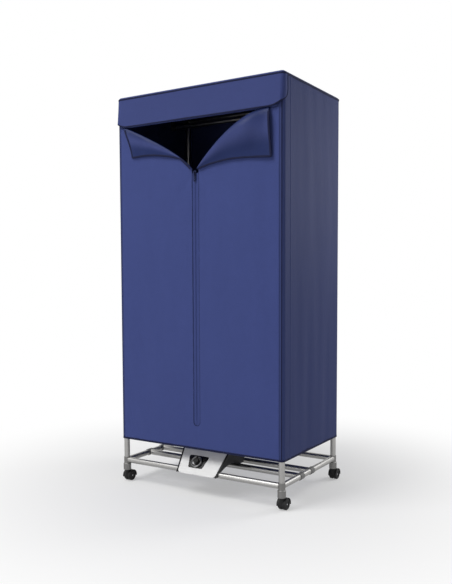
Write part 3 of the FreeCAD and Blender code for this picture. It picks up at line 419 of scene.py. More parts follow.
def lapel(side):
    # the turned-out corner of a leaf, with the share of its fold on each point, and its binding
    leaf = leafShape[side]
    grid, uv, length = lapelGrid(side)
    piece = sheetPiece("lapel" + sideName[side], grid, uv, 0.0009, flip=side > 0)
    share = np.clip(uv[..., 1] / length[:, None], 0, 1)
    foldShare = piece.data.attributes.new("foldShare", "FLOAT", "POINT")
    foldShare.data.foreach_set("value", share.ravel())
    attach(piece, leaf["body"])
    edge = np.vstack([grid[2:, -1], grid[-1, ::-1][1:-16]])
    path = resample(edge, 150)
    path[:, 1] -= 0.0002
    normals = np.tile([0.15 * side, -1.0, 0], (150, 1))
    binding = sweep("lapelBinding" + sideName[side], path, normals, oval(0.0078, 0.0028))
    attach(binding, leaf["body"])
    return piece


header = {"halfWide": 0.333, "tall": 0.117, "behind": 0.0016}


def headerBand():
    # a flat strip behind the valance
    x = np.linspace(-header["halfWide"], header["halfWide"], 40)[:, None]
    z = np.linspace(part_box("cover_front_bands")[1].z - header["tall"], topZ - 0.004, 12)[None]
    grid = pointGrid(x, frontY + header["behind"] + 0 * z, z)
    piece = sheetPiece("headerBand", grid, pointGrid(x, z), cover["cloth"])
    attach(piece, "cabinet")
    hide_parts("cover_front_bands")
    return piece


valance = {"gap": 0.0012, "low": 1.3845, "tall": 0.112, "proud": 0.0112, "cornerRun": 0.075,
           "cornerRise": 0.060, "back": 0.0236, "flare": 1.3, "wave": 0.0009}


def valanceGrid():
    # the flap follows the plan line from one return to the other, and each point stands off by a power of its
    # drop and a small wave; its lower corners are quarters of an ellipse
    r = cover["wrapRadius"] + valance["gap"]
    a = np.radians(np.linspace(0, 90, 12))
    sideY = np.linspace(-postY + valance["back"] - 0.0135, -postY + 0.0005, 8)
    left = np.vstack([np.stack([np.full(8, -postX - r), sideY], -1),
                      np.stack([-postX - r * np.cos(a), -postY - r * np.sin(a)], -1)])
    front = np.stack([np.linspace(-postX + 0.008, postX - 0.008, 70), np.full(70, -postY - r)], -1)
    plan = np.vstack([left, front, left[::-1] * [-1, 1]])
    out = np.vstack([np.tile([-0.12, 0], (8, 1)), np.stack([-0.12 * np.cos(a), -np.sin(a)], -1),
                     np.tile([0, -1.0], (70, 1)), np.stack([0.12 * np.cos(a), -np.sin(a)], -1)[::-1],
                     np.tile([0.12, 0], (8, 1))])
    run = arcRun(plan)
    fromEnd = np.minimum(run, run[-1] - run)
    turned = np.clip(1 - fromEnd / valance["cornerRun"], 0, 1)
    low = valance["low"] + valance["cornerRise"] * (1 - np.sqrt(1 - turned ** 2))
    v = np.linspace(0, 1, 26)[None]
    high = topZ - 0.0065
    z = high - (high - low[:, None]) * v
    drop = (high - z) / (high - valance["low"])
    wave = (valance["wave"] * np.sin(run[:, None] * 2 * math.pi / 0.31 + 1.1) * drop ** 2
            + 0.0005 * np.sin(run[:, None] * 41) * drop)
    away = valance["proud"] * drop ** valance["flare"] + wave * smooth(fromEnd, 0.02, 0.09)[:, None]
    grid = np.empty(z.shape + (3,))
    grid[..., :2] = plan[:, None] + out[:, None] * away[..., None]
    grid[..., 2] = z
    uv = pointGrid(run[:, None], z)
    return grid, uv, run


def valancePiece():
    grid, uv, run = valanceGrid()
    piece = sheetPiece("valance", grid, uv, cover["cloth"], flip=True)
    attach(piece, "cabinet")
    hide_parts("cover_valance")
    area = float((uv[:-1, 0, 1] - uv[:-1, -1, 1]) @ np.diff(run))
    area = min(area, 0.999 * run[-1] * valance["tall"])
    edge = resample(np.vstack([grid[0, 2:-1], grid[:, -1], grid[-1, 2:-1][::-1]]), 260)
    centre = np.array([0, -0.1, 0])
    normals = unit((edge - centre) * [0.35, 1, 0]) + [0, -0.2, 0]
    binding = sweep("valanceBinding", edge, normals, oval(0.0052, 0.0024))
    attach(binding, "cabinet")
    row = resample(grid[4:-4, -3], 240)
    stitches = stitchRow("valanceStitch", row + [0, -0.0001, 0], np.tile([0, -1.0, 0.1], (240, 1)))
    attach(stitches, "cabinet")
    return piece


def loopTrim():
    # piping round the top edge and down the corners, and the binding round the hem with its stitches
    halfX = postX + cover["wrapRadius"]
    plan, out = roundedLoop(halfX + 0.0006, -frontY + 0.0006, cover["wrapRadius"] + 0.0006, 420)
    path = np.column_stack([plan, np.full(len(plan), wrapTopZ - 0.0002)])
    level = np.column_stack([out, np.zeros(len(out))])
    piping = sweep("topPiping", path, level, oval(cover["piping"], cover["pipingThick"], 12), True)
    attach(piping, "cabinet")
    corners = (("FrontLeft", -1, -1, 66, 1.432), ("FrontRight", 1, -1, 66, 1.432),
               ("BackLeft", -1, 1, 45, wrapTopZ), ("BackRight", 1, 1, 45, wrapTopZ))
    for name, sx, sy, phi, high in corners:
        out = np.array([sx * math.cos(math.radians(phi)), sy * math.sin(math.radians(phi)), 0])
        z = np.linspace(hemZ + 0.004, high, 90)
        path = np.array([sx * postX, sy * postY, 0]) + out * cover["wrapRadius"] + np.outer(z, [0, 0, 1])
        profile = oval(cover["cornerPiping"], cover["cornerPipingThick"])
        seam = sweep("cornerPiping" + name, path, np.tile(out, (90, 1)), profile)
        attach(seam, "cabinet")
    plan, out = roundedLoop(halfX - 0.0001, -frontY - 0.0001, cover["wrapRadius"], 420)
    path = np.column_stack([plan, np.full(len(plan), hemZ + cover["hemBand"] / 2 - 0.0006)])
    level = np.column_stack([out, np.zeros(len(out))])
    hem = sweep("hemBinding", path, level, oval(cover["hemBand"], cover["hemThick"], 12), True)
    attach(hem, "cabinet")
    path = np.column_stack([plan + out * 0.0012, np.full(len(plan), hemZ + cover["hemBand"] - 0.0022)])
    row = stitchRow("hemStitch", path, level)
    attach(row, "cabinet")


def placketPath(side):
    # the leaf's cut edge: round the slit end and up to the vee
    leaf = leafShape[side]
    a = np.linspace(0.06, math.pi / 2, 14)
    low = np.stack([leaf["edge"] * np.sin(a), slit["end"] + slit["round"] * (1 - np.cos(a))], -1)
    z = np.linspace(low[-1, 1] + 0.004, float(veeHeight(leaf, leaf["edge"])) - 0.006, 120)
    up = np.stack([np.full_like(z, leaf["edge"]), z], -1)
    xz = np.vstack([low, up])
    y = frontY - frontRelief(side, xz[:, 0], xz[:, 1])
    return np.column_stack([side * xz[:, 0], y, xz[:, 1]])


def placket(side):
    # a narrow dark binding on the cut edge, which also stands in as painted shade for the groove between the cloth's
    # edge and the tape, and a row of stitches beside it
    path = resample(placketPath(side), 230)
    normals = np.tile([0, -1.0, 0], (230, 1))
    centre = path + [side * 0.0010, 0.0003, 0]
    # dark strip: binding on the cut edge and painted shade of the groove beside the tape
    edge = sweep("placketEdge" + sideName[side], centre, normals, oval(0.0026, 0.0026))
    bendWithLeaf(edge)
    row = resample(path[18:] + [side * 0.0052, -0.0001, 0], 200)
    stitches = stitchRow("placketStitch" + sideName[side], row, normals[:200])
    bendWithLeaf(stitches)


zipSize = {"tape": 0.0185, "tapeY": 0.0013, "teethY": 0.0007, "pitch": 0.0018, "coil": 0.0011}


def zipHalf(side):
    # a tape that follows the folds of the leaf over it, and a row of moulded coil turns along its inner edge
    z = np.concatenate([np.linspace(slit["end"] - 0.004, zipLowZ - 0.006, 8)[:-1],
                        np.linspace(zipLowZ - 0.006, veeZ, 112)])
    x = np.array([0.0003, 0.0025, 0.0035, 0.008, 0.013, zipSize["tape"]])
    lift = np.array([0.0003, 0.0003, 0.0, 0.0002, 0.0, 0.0])
    follow = np.maximum(smooth(x, 0.004, 0.011)[:, None], smooth(-z, -0.272, -0.264)[None])
    follow = follow * frontRelief(side, x[:, None], z[None])
    behind = zipSize["tapeY"] - lift[:, None] * smooth(z, 0.272, 0.280)[None] - follow
    grid = pointGrid(side * x[:, None], frontY + behind, z[None])
    uv = pointGrid(x[:, None], z[None])
    tape = sheetPiece("zipTape" + sideName[side], grid, uv, 0.0006, flip=side < 0)
    bendWithLeaf(tape)
    leaf = leafShape[side]
    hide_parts(leaf["zipNode"])
    at = np.arange(zipLowZ - 0.0015, z[-1] - 0.001, zipSize["pitch"])
    at = at + (zipSize["pitch"] / 2 if side > 0 else 0)
    # each turn is a short bar across the tape with its ends rounded off downwards
    c = np.linspace(0, 2 * math.pi, 6, endpoint=False)
    ring = np.stack([0 * c, np.cos(c) * zipSize["coil"] * 0.55, np.sin(c) * zipSize["pitch"] * 0.36], -1)
    # rows of distance from the middle, depth, and share of the full thickness
    stations = [[0.0001, 0.0004, 0.6], [0.0007, -0.0003, 1.0], [0.0026, -0.0003, 1.0], [0.0031, 0.0006, 0.6]]
    turn = np.concatenate([ring * s + [side * a, b, 0] for a, b, s in stations])
    points = turn[None] + np.stack([0 * at, np.full_like(at, frontY + zipSize["teethY"]), at], -1)[:, None]
    base = [list(f) for f in gridFaces(4, 6, False, True)] + [[5, 4, 3, 2, 1, 0], [18, 19, 20, 21, 22, 23]]
    faces = [[24 * n + i for i in f] for n in range(len(at)) for f in base]
    teeth = makePiece("zipTeeth" + sideName[side], points, faces)
    turnOutwards(teeth)
    bendWithLeaf(teeth)


def coverFloor():
    # rings from the duct's hole out to the walls, cut in round each post
    low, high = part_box("cover_floor")
    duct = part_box("outlet_grille")
    cx, cy = (duct[0].x + duct[1].x) / 2, (duct[0].y + duct[1].y) / 2
    r, holeR, z = 0.0116, 0.0424, low.z
    notch = np.radians(np.linspace(-17, -253, 16))
    arc = np.stack([postX + r * np.cos(notch), postY + r * np.sin(notch)], -1)
    rim = resample(np.vstack([arc, (arc * [-1, 1])[::-1], -arc, (arc * [1, -1])[::-1]]), 260, True)
    angle = np.arctan2(rim[:, 1] - cy, rim[:, 0] - cx)
    hole = np.stack([cx + holeR * np.cos(angle), cy + holeR * np.sin(angle)], -1)
    t = np.linspace(0, 1, 22)[:, None, None] ** 0.9
    plan = hole[None] * (1 - t) + rim[None] * t
    zz = z + 0.0009 - 0.0016 * np.sin(np.pi * t[..., 0]) * (1 + 0.4 * np.sin(7 * plan[..., 0] * 9))
    grid = np.concatenate([plan, zz[..., None]], -1)
    piece = makePiece("coverFloor", grid, gridFaces(22, 260, False, True), grid[..., :2])
    wall = piece.modifiers.new("thickness", "SOLIDIFY")
    wall.thickness, wall.offset = 0.0008, 1
    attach(piece, "cabinet")
    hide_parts("cover_floor")
    return piece


coverTop()
for side in (-1, 1):
    sidePanel(side)
    leafCloth(side)
    lapel(side)
    placket(side)
    zipHalf(side)
backPanel()
headerBand()
valancePiece()
loopTrim()
coverFloor()
print("cloth made:", len(pieces), "pieces")


def addNode(tree, kind, inputs=None, **settings):
    node = tree.nodes.new("ShaderNode" + kind)
    for key, value in settings.items():
        setattr(node, key, value)
    for key, value in (inputs or {}).items():
        socket = node.inputs[key]
        if isinstance(value, bpy.types.NodeSocket):
            tree.links.new(value, socket)
        else:
            socket.default_value = value
    return node


def feed(node, socket, value):
    node.id_data.links.new(value, node.inputs[socket])


def newGroup(name, ins, outs):
    group = bpy.data.node_groups.new(name, "ShaderNodeTree")
    for label, kind, value in ins:
        socket = group.interface.new_socket(label, in_out="INPUT", socket_type=kind)
        if value is not None:
            socket.default_value = value
    for label, kind in outs:
        group.interface.new_socket(label, in_out="OUTPUT", socket_type=kind)
    return group, group.nodes.new("NodeGroupInput"), group.nodes.new("NodeGroupOutput")


def mathNode(tree, operation, a, b=0.0, c=0.5, clamp=False):
    # c is what MULTIPLY_ADD adds, and no other operation here reads it
    return addNode(tree, "Math", {0: a, 1: b, 2: c}, operation=operation, use_clamp=clamp).outputs[0]


def noiseNode(tree, vector, scale, detail, roughness=0.5):
    return addNode(tree, "TexNoise", {"Vector": vector, "Scale": scale, "Detail": detail,
                                                "Roughness": roughness}).outputs[0]


def makeGroups():
    groups = {}
    # weave: two sine waves crossed, one up where the other is down
    vector, number = "NodeSocketVector", "NodeSocketFloat"
    g, gi, go = newGroup("weave", [("Vector", vector, None), ("Threads", number, 900.0)],
                         [("Height", number), ("Tone", number)])
    scaled = addNode(g, "VectorMath", {0: gi.outputs["Vector"], 3: gi.outputs["Threads"]},
                     operation="SCALE")
    parts = addNode(g, "SeparateXYZ", {0: scaled.outputs[0]})
    a = mathNode(g, "SINE", mathNode(g, "MULTIPLY", parts.outputs[0], math.pi))
    b = mathNode(g, "SINE", mathNode(g, "MULTIPLY", parts.outputs[1], math.pi))
    height = mathNode(g, "MULTIPLY_ADD", mathNode(g, "MULTIPLY", a, b), 0.5, 0.5)
    slub = noiseNode(g, gi.outputs["Vector"], 240.0, 3.0)
    feed(go, "Height", height)
    feed(go, "Tone", slub)
    groups["weave"] = g
    # drift: a slow change of tone over the surface, about 1
    g, gi, go = newGroup("toneDrift", [("Vector", vector, None), ("Scale", number, 3.0), ("Amount", number, 0.1)],
                         [("Factor", number)])
    noise = noiseNode(g, gi.outputs["Vector"], gi.outputs["Scale"], 5.0, 0.6)
    drift = mathNode(g, "MULTIPLY_ADD", mathNode(g, "SUBTRACT", noise, 0.5), gi.outputs["Amount"], 1.0)
    feed(go, "Factor", drift)
    groups["toneDrift"] = g
    # streaks: noise drawn out along one axis by the scale vector
    g, gi, go = newGroup("streaks", [("Vector", vector, None), ("Stretch", vector, (1, 1, 1)),
                                     ("Detail", number, 4.0)], [("Height", number)])
    stretched = addNode(g, "VectorMath", {0: gi.outputs["Vector"], 1: gi.outputs["Stretch"]},
                        operation="MULTIPLY")
    noise = noiseNode(g, stretched.outputs[0], 1.0, gi.outputs["Detail"], 0.65)
    feed(go, "Height", noise)
    groups["streaks"] = g
    # dust: on faces that look up, broken by noise
    g, gi, go = newGroup("dust", [("Vector", vector, None), ("Amount", number, 0.3)], [("Mask", number)])
    up = addNode(g, "SeparateXYZ", {0: addNode(g, "NewGeometry").outputs["Normal"]})
    noise = noiseNode(g, gi.outputs["Vector"], 70.0, 6.0, 0.7)
    lying = mathNode(g, "POWER", mathNode(g, "MAXIMUM", up.outputs[2], 0.0), 2.0)
    mask = mathNode(g, "MULTIPLY", mathNode(g, "MULTIPLY", lying, noise), gi.outputs["Amount"])
    feed(go, "Mask", mask)
    groups["dust"] = g
    # edge wear and a painted edge highlight: where a rounded normal leaves the face's own, broken by noise
    g, gi, go = newGroup("edgeWearAndHighlight", [("Vector", vector, None), ("Width", number, 0.0008), ("Amount", number, 0.6)],
                         [("Mask", number)])
    bevel = addNode(g, "Bevel", {"Radius": gi.outputs["Width"]}, samples=4)
    flat = addNode(g, "NewGeometry").outputs["True Normal"]
    dot = addNode(g, "VectorMath", {0: bevel.outputs[0], 1: flat}, operation="DOT_PRODUCT")
    left = mathNode(g, "SUBTRACT", 0.97, dot.outputs["Value"], clamp=True)
    wornAndLitEdge = mathNode(g, "MULTIPLY", left, 6.0, clamp=True)
    noise = noiseNode(g, gi.outputs["Vector"], 160.0, 4.0)
    mask = mathNode(g, "MULTIPLY", mathNode(g, "MULTIPLY", wornAndLitEdge, noise), gi.outputs["Amount"])
    feed(go, "Mask", mask)
    groups["edgeWearAndHighlight"] = g
    return groups


groups = makeGroups()


def useGroup(tree, name, **inputs):
    node = tree.nodes.new("ShaderNodeGroup")
    node.node_tree = groups[name]
    for key, value in inputs.items():
        if isinstance(value, bpy.types.NodeSocket):
            tree.links.new(value, node.inputs[key])
        else:
            node.inputs[key].default_value = value
    return node


def newMaterial(name, **constants):
    mat = bpy.data.materials.new(name)
    mat.use_nodes = True
    bsdf = mat.node_tree.nodes["Principled BSDF"]
    for key, value in constants.items():
        bsdf.inputs[key].default_value = value
    return mat, mat.node_tree, bsdf


def scaleColour(tree, colour, *factors):
    # a colour times one or more grey factors
    value = factors[0]
    for factor in factors[1:]:
        value = mathNode(tree, "MULTIPLY", value, factor)
    return addNode(tree, "VectorMath", {0: colour[:3], 3: value}, operation="SCALE").outputs[0]


def mixColour(tree, factor, a, b):
    node = addNode(tree, "Mix", data_type="RGBA")
    for socket, value in ((node.inputs[0], factor), (node.inputs[6], a), (node.inputs[7], b)):
        if isinstance(value, bpy.types.NodeSocket):
            tree.links.new(value, socket)
        else:
            socket.default_value = value if not hasattr(value, "__len__") else tuple(value[:3]) + (1,)
    return node.outputs[2]


def bump(tree, height, distance, strength=1.0, below=None):
    inputs = {"Height": height, "Distance": distance, "Strength": strength}
    if below is not None:
        inputs["Normal"] = below
    return addNode(tree, "Bump", inputs).outputs[0]


def clothMaterial(name, colour, roughness, crease, threads=1300.0, sheen=0.03, **constants):
    # woven cloth: a slow and a fine drift of tone, slubs, and bumps for folds, small creases and the weave
    mat, tree, bsdf = newMaterial(name, **{"Sheen Weight": sheen, "Sheen Roughness": 0.45,
                                           "Specular IOR Level": 0.08, **constants})
    uv = addNode(tree, "TexCoord").outputs["UV"]
    weave = useGroup(tree, "weave", Vector=uv, Threads=threads)
    drift = useGroup(tree, "toneDrift", Vector=uv, Scale=2.6, Amount=0.16)
    fine = useGroup(tree, "toneDrift", Vector=uv, Scale=38.0, Amount=0.10)
    slub = mathNode(tree, "MULTIPLY_ADD", weave.outputs["Tone"], 0.16, 0.92)
    feed(bsdf, "Base Color", scaleColour(tree, colour, drift.outputs[0], fine.outputs[0], slub))
    rough = mathNode(tree, "MULTIPLY", fine.outputs[0], roughness)
    feed(bsdf, "Roughness", rough)
    folds = useGroup(tree, "streaks", Vector=uv, Stretch=(9.0, 2.2, 1.0), Detail=3.0)
    normal = bump(tree, folds.outputs[0], crease)
    small = useGroup(tree, "streaks", Vector=uv, Stretch=(60.0, 34.0, 1.0), Detail=3.0)
    normal = bump(tree, small.outputs[0], 0.0007, 0.5, normal)
    normal = bump(tree, weave.outputs["Height"], 0.00012, 0.5, normal)
    feed(bsdf, "Normal", normal)
    return mat


def metalMaterial(name, colour, roughness, stretch, grain=0.00001, dusty=0.05):
    # drawn metal: streaks along one axis in its roughness and bump, blots of tone, and a little dust
    mat, tree, bsdf = newMaterial(name, Metallic=1.0)
    at = addNode(tree, "TexCoord").outputs["Object"]
    drawn = useGroup(tree, "streaks", Vector=at, Stretch=stretch, Detail=4.0)
    blot = useGroup(tree, "toneDrift", Vector=at, Scale=14.0, Amount=0.12)
    dust = useGroup(tree, "dust", Vector=at, Amount=dusty)
    base = scaleColour(tree, colour, blot.outputs[0])
    feed(bsdf, "Base Color", mixColour(tree, dust.outputs[0], base, (0.5, 0.49, 0.47)))
    rough = mathNode(tree, "MULTIPLY_ADD", drawn.outputs[0], 0.14, roughness - 0.07)
    feed(bsdf, "Roughness", mathNode(tree, "ADD", rough, dust.outputs[0]))
    feed(bsdf, "Normal", bump(tree, drawn.outputs[0], grain))
    return mat


def plasticMaterial(name, colour, roughness, grain=0.00012, grainScale=900.0, dusty=0.12, wearAndHighlight=0.25, wornAndLitEdge=None,
                    **constants):
    # moulded plastic: drifting tone, paler edges that are part wear and part painted highlight, dust on top, and a
    # fine grain
    mat, tree, bsdf = newMaterial(name, **constants)
    at = addNode(tree, "TexCoord").outputs["Object"]
    drift = useGroup(tree, "toneDrift", Vector=at, Scale=22.0, Amount=0.18)
    dust = useGroup(tree, "dust", Vector=at, Amount=dusty)
    edge = useGroup(tree, "edgeWearAndHighlight", Vector=at, Width=0.0008, Amount=wearAndHighlight)
    base = scaleColour(tree, colour, drift.outputs[0])
    # paler edges: wear, and a painted highlight along the edges
    base = mixColour(tree, edge.outputs[0], base, wornAndLitEdge or [min(1, c * 2.2 + 0.03) for c in colour])
    feed(bsdf, "Base Color", mixColour(tree, dust.outputs[0], base, (0.36, 0.35, 0.33)))
    feed(bsdf, "Roughness", mathNode(tree, "MULTIPLY_ADD", dust.outputs[0], 0.4, roughness))
    noise = noiseNode(tree, at, grainScale, 2.0)
    feed(bsdf, "Normal", bump(tree, noise, grain, 0.6))
    return mat


def dull(level):
    return {"Specular IOR Level": level}


def liningPaintedShade():
    # satin-coated back of the cloth, with a painted highlight and painted shade: brightest on the belly of the fold,
    # darker at the roll and at the free edge
    mat = clothMaterial("liningPaintedShade", (0.043, 0.058, 0.180), 0.42, 0.0010, 1700.0, 0.02,
                        **dull(0.12))
    tree, bsdf = mat.node_tree, mat.node_tree.nodes["Principled BSDF"]
    share = addNode(tree, "Attribute", attribute_name="foldShare").outputs["Fac"]
    rise, fall = [addNode(tree, "MapRange", {0: share, 1: dark, 2: bright}, interpolation_type="SMOOTHSTEP")
                  for dark, bright in ((0.04, 0.40), (0.78, 0.42))]
    lit = mathNode(tree, "MULTIPLY", rise.outputs[0], fall.outputs[0])
    # painted shade: away from the belly the colour is multiplied down to this tint; on the belly it stays whole as a
    # painted highlight
    band = mixColour(tree, lit, (0.34, 0.45, 0.58), (1, 1, 1))
    below = bsdf.inputs["Base Color"].links[0].from_socket
    shaded = addNode(tree, "VectorMath", {0: below, 1: band}, operation="MULTIPLY")
    feed(bsdf, "Base Color", shaded.outputs[0])
    return mat


def silverPaint():
    # pale metallic paint with faint streaks across the panel
    mat = plasticMaterial("silverPanel", (0.70, 0.70, 0.695), 0.46, 0.00003, 1500.0, 0.04, 0.1, (0.45, 0.45, 0.45),
                          **dull(0.3))
    tree, bsdf = mat.node_tree, mat.node_tree.nodes["Principled BSDF"]
    at = addNode(tree, "TexCoord").outputs["Object"]
    lines = useGroup(tree, "streaks", Vector=at, Stretch=(5.0, 380.0, 380.0), Detail=4.0)
    tone = mathNode(tree, "MULTIPLY_ADD", lines.outputs[0], 0.22, 0.89)
    below = bsdf.inputs["Base Color"].links[0].from_socket
    scaled = addNode(tree, "VectorMath", {0: below, 3: tone}, operation="SCALE")
    feed(bsdf, "Base Color", scaled.outputs[0])
    metal = mathNode(tree, "MULTIPLY", lines.outputs[0], 0.3)
    feed(bsdf, "Metallic", metal)
    return mat


steel = (0.37, 0.366, 0.357)
finish = {
    "cloth": clothMaterial("coverCloth", (0.050, 0.069, 0.216), 0.62, 0.0022),
    # painted shade: a darker, greyer copy of the cover cloth for the sides and the back
    "sideClothShaded": clothMaterial("coverSideClothShaded", (0.037, 0.050, 0.148), 0.64, 0.0016),
    "lining": liningPaintedShade(),
    # painted shade: a darker copy of the cover cloth for the valance
    "valanceClothShaded": clothMaterial("valanceClothShaded", (0.043, 0.058, 0.180), 0.62, 0.0022),
    "binding": clothMaterial("navyBinding", (0.013, 0.016, 0.048), 0.70, 0.0004, 800.0),
    "tape": clothMaterial("zipTape", (0.046, 0.064, 0.200), 0.72, 0.0003, 700.0),
    "tubeX": metalMaterial("steelTubeX", steel, 0.36, (3.0, 900.0, 900.0)),
    "tubeY": metalMaterial("steelTubeY", steel, 0.36, (900.0, 3.0, 900.0)),
    "tubeZ": metalMaterial("steelTubeZ", steel, 0.36, (900.0, 900.0, 3.0)),
    "sleeve": metalMaterial("zincSleeve", (0.20, 0.197, 0.192), 0.45, (420.0, 420.0, 60.0), 0.00003, 0.12),
    "axle": metalMaterial("turnedAxle", (0.5, 0.5, 0.52), 0.3, (30.0, 900.0, 900.0)),
    "chrome": metalMaterial("dialChrome", (0.24, 0.24, 0.245), 0.30, (160.0, 160.0, 160.0), 0.00001, 0.02),
    "alloy": metalMaterial("heaterFins", (0.56, 0.56, 0.57), 0.42, (300.0, 40.0, 300.0)),
    "slider": metalMaterial("slidersPaint", (0.020, 0.025, 0.062), 0.42, (90.0, 90.0, 90.0)),
    "clamp": plasticMaterial("clampPlastic", (0.17, 0.17, 0.168), 0.5),
    "fitting": plasticMaterial("fittingPlastic", (0.032, 0.033, 0.036), 0.5),
    "castor": plasticMaterial("castorPlastic", (0.012, 0.012, 0.0125), 0.5, dusty=0.08, wearAndHighlight=0.12, **dull(0.2)),
    "wheel": plasticMaterial("wheelTread", (0.012, 0.012, 0.0125), 0.55, 0.0002, 420.0, 0.08, 0.25,
                             (0.06, 0.059, 0.057), **dull(0.2)),
    "casing": plasticMaterial("casingPlastic", (0.013, 0.013, 0.014), 0.5, 0.0002, 1100.0, 0.06, 0.15, **dull(0.25)),
    "insert": plasticMaterial("glossInsert", (0.005, 0.005, 0.0055), 0.2, 0.00002, 300.0, 0.03, 0.1, **dull(0.3)),
    "grip": plasticMaterial("dialGrip", (0.006, 0.006, 0.0065), 0.4, 0.00008, 900.0, 0.02, 0.15, **dull(0.15)),
    "white": plasticMaterial("switchCase", (0.62, 0.61, 0.58), 0.5),
    "fan": plasticMaterial("fanNylon", (0.05, 0.05, 0.055), 0.5, 0.0002, 700.0, 0.2),
    "rubber": plasticMaterial("glandRubber", (0.018, 0.018, 0.018), 0.75, 0.0003, 500.0, 0.15),
    "silver": silverPaint(),
    "thread": clothMaterial("sewingThread", (0.056, 0.076, 0.225), 0.55, 0.0001, 2500.0, 0.08),
}


def paint(thing, name):
    thing.data.materials.clear()
    thing.data.materials.append(finish[name])


# each look, and the starts of the node names that have it; the longest start that fits counts
nodeLooks = {"castor": ["castor_hood"], "wheel": ["castor_wheels"], "axle": ["castor_axle"],
             "tubeZ": ["post_"],
             "tubeX": ["base_rail_front", "base_rail_back", "cross_rail", "top_rail_front", "top_rail_back",
                       "hanging_rods"],
             "tubeY": ["base_rail_left", "base_rail_right", "top_rail_left", "top_rail_right", "mid_rail"],
             "sleeve": ["foot_sleeves"], "fitting": ["corner_blocks", "rod_hangers"], "clamp": ["tee_clamps"],
             "slider": ["zip_slider", "zip_pull_tab"],
             "casing": ["heater_casing", "heater_base_plate", "outlet_grille", "outlet_duct"],
             "silver": ["heater_panel"], "insert": ["panel_insert"], "chrome": ["dial_ring"],
             "grip": ["dial_grip"], "white": ["timer"], "fan": ["fan"],
             "alloy": ["fan_motor", "heating_element"], "rubber": ["cable_gland"]}
nodeFinish = {start: look for look, starts in nodeLooks.items() for start in starts}
for nodeName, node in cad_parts.items():
    match = max((k for k in nodeFinish if nodeName.startswith(k)), key=len, default=None)
    if match:
        paint(node, nodeFinish[match])

pieceFinish = {"lapelLeft": ("lining", "cover_cloth"), "lapelRight": ("lining", "cover_cloth"),
               # the sides and the back take the copy of the cloth with painted shade
               "sidePanel": ("sideClothShaded", "cover_cloth"), "backPanel": ("sideClothShaded", "cover_cloth"),
               "valance": ("valanceClothShaded", "cover_cloth"), "zipTape": ("tape", "zip_tape"),
               "zipTeeth": ("tape", "zip_tape")}
for start in ("lapelBinding", "valanceBinding", "topPiping", "hemBinding", "placketEdge", "cornerPiping"):
    pieceFinish[start] = ("binding", "zip_tape")
for start in ("placketStitch", "sideStitch", "hemStitch", "valanceStitch"):
    pieceFinish[start] = ("thread", "zip_tape")
for pieceName, piece in pieces.items():
    match = max((k for k in pieceFinish if pieceName.startswith(k)), key=len, default=None)
    look, slotName = pieceFinish[match] if match else ("cloth", "cover_cloth")
    paint(piece, look)
print("materials made")


studio = {"ambient": 0.30, "floorTone": 0.95, "floorSize": 14, "nearWhite": 0.35, "whiteFrom": 0.35,
          "whiteTo": 1.5}
lights = {"keyLight": {"place": (-1.6, -2.9, 4.6), "target": (0, 0, 0.8), "size": 2.6, "power": 145.0},
          "frontLight": {"place": (-0.6, -3.9, 0.7), "target": (0, 0, 0.5), "size": 2.2, "power": 24.0},
          "fillLight": {"place": (1.3, 1.5, 1.4), "target": (0.36, 0.1, 0.8), "size": 0.9, "power": 13.0}}
photoView = {"place": (1.468, -2.364, 0.822), "turn": 32.14, "down": 3.77, "roll": -0.23, "lens": 43.56,
             "shift": 0.0493}


def seenDirectly(tree):
    # 1 for rays from the camera, mirrors and glass, and 0 for the light that falls on things
    path = addNode(tree, "LightPath")
    a = mathNode(tree, "MAXIMUM", path.outputs["Is Camera Ray"], path.outputs["Is Glossy Ray"])
    return mathNode(tree, "MAXIMUM", a, path.outputs["Is Transmission Ray"])


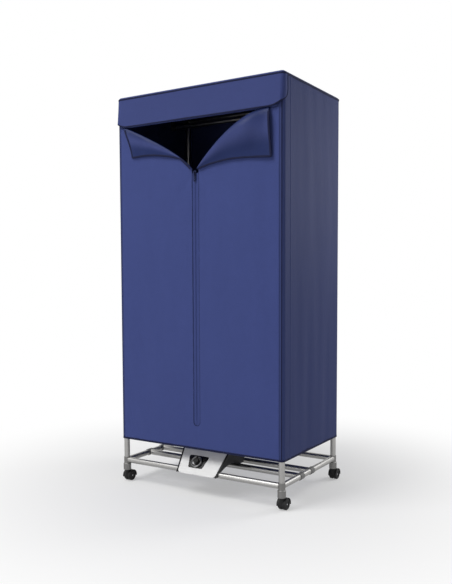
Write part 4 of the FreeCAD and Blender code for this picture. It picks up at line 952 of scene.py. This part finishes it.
def makeStage():
    # a pale disc that fades to white away from the cabinet, and a white world that lights softly
    r = np.linspace(0, 1, 30)[:, None] ** 1.5 * studio["floorSize"]
    a = np.linspace(0, 2 * math.pi, 64, endpoint=False)[None]
    grid = pointGrid((r + 0.001) * np.cos(a), (r + 0.001) * np.sin(a), 0 * r * a)
    floor = makePiece("studioFloor", grid, gridFaces(30, 64, False, True)[:, ::-1])
    floor.data.flip_normals()
    pieces.pop("studioFloor")
    mat, tree, bsdf = newMaterial("paleFloor", Roughness=0.9)
    bsdf.inputs["Specular IOR Level"].default_value = 0.1
    tone = studio["floorTone"]
    bsdf.inputs["Base Color"].default_value = (tone, tone, tone, 1)
    at = addNode(tree, "TexCoord").outputs["Object"]
    far = addNode(tree, "VectorMath", {0: at}, operation="LENGTH").outputs["Value"]
    ends = {0: far, 1: studio["whiteFrom"], 2: studio["whiteTo"], 3: studio["nearWhite"]}
    share = addNode(tree, "MapRange", ends, interpolation_type="SMOOTHSTEP").outputs[0]
    white = addNode(tree, "Emission", {"Color": (1, 1, 1, 1), "Strength": 1.0})
    seen = mathNode(tree, "MULTIPLY", share, seenDirectly(tree))
    mix = addNode(tree, "MixShader", {0: seen, 1: bsdf.outputs[0], 2: white.outputs[0]})
    tree.links.new(mix.outputs[0], tree.nodes["Material Output"].inputs["Surface"])
    floor.data.materials.append(mat)
    world = bpy.data.worlds.new("studio")
    bpy.context.scene.world = world
    world.use_nodes = True
    tree = world.node_tree
    back = tree.nodes["Background"]
    back.inputs["Color"].default_value = (1, 1, 1, 1)
    strength = mathNode(tree, "MULTIPLY_ADD", seenDirectly(tree), 1 - studio["ambient"], studio["ambient"])
    tree.links.new(strength, back.inputs["Strength"])


def softLight(name, place, target, size, power):
    light = bpy.data.lights.new(name, "AREA")
    light.shape, light.size, light.energy = "SQUARE", size, power
    lamp = bpy.data.objects.new(name, light)
    bpy.context.scene.collection.objects.link(lamp)
    z = unit(np.array(place, float) - np.array(target, float))
    x = unit(np.cross([0, 0, 1.0], z))
    lamp.matrix_world = Matrix(np.column_stack([x, np.cross(z, x), z]).tolist()).to_4x4()
    lamp.location = place
    return lamp


def makeCamera():
    # the camera that was solved from the photo's corners
    lens = bpy.data.cameras.new("photoCamera")
    camera = bpy.data.objects.new("photoCamera", lens)
    bpy.context.scene.collection.objects.link(camera)
    turn, tilt, roll = [Matrix.Rotation(math.radians(angle), 4, axis) for angle, axis in
                        ((photoView["turn"], "Z"), (90 - photoView["down"], "X"), (photoView["roll"], "Z"))]
    camera.matrix_world = Matrix.Translation(photoView["place"]) @ (turn @ tilt @ roll)
    lens.sensor_width, lens.lens, lens.shift_y = 36, photoView["lens"], photoView["shift"]
    lens.clip_start, lens.clip_end = 0.05, 60
    bpy.context.scene.camera = camera


makeStage()
for name, light in lights.items():
    softLight(name, **light)
makeCamera()
bpy.context.scene.view_settings.view_transform = "Standard"
print("stage and camera set")
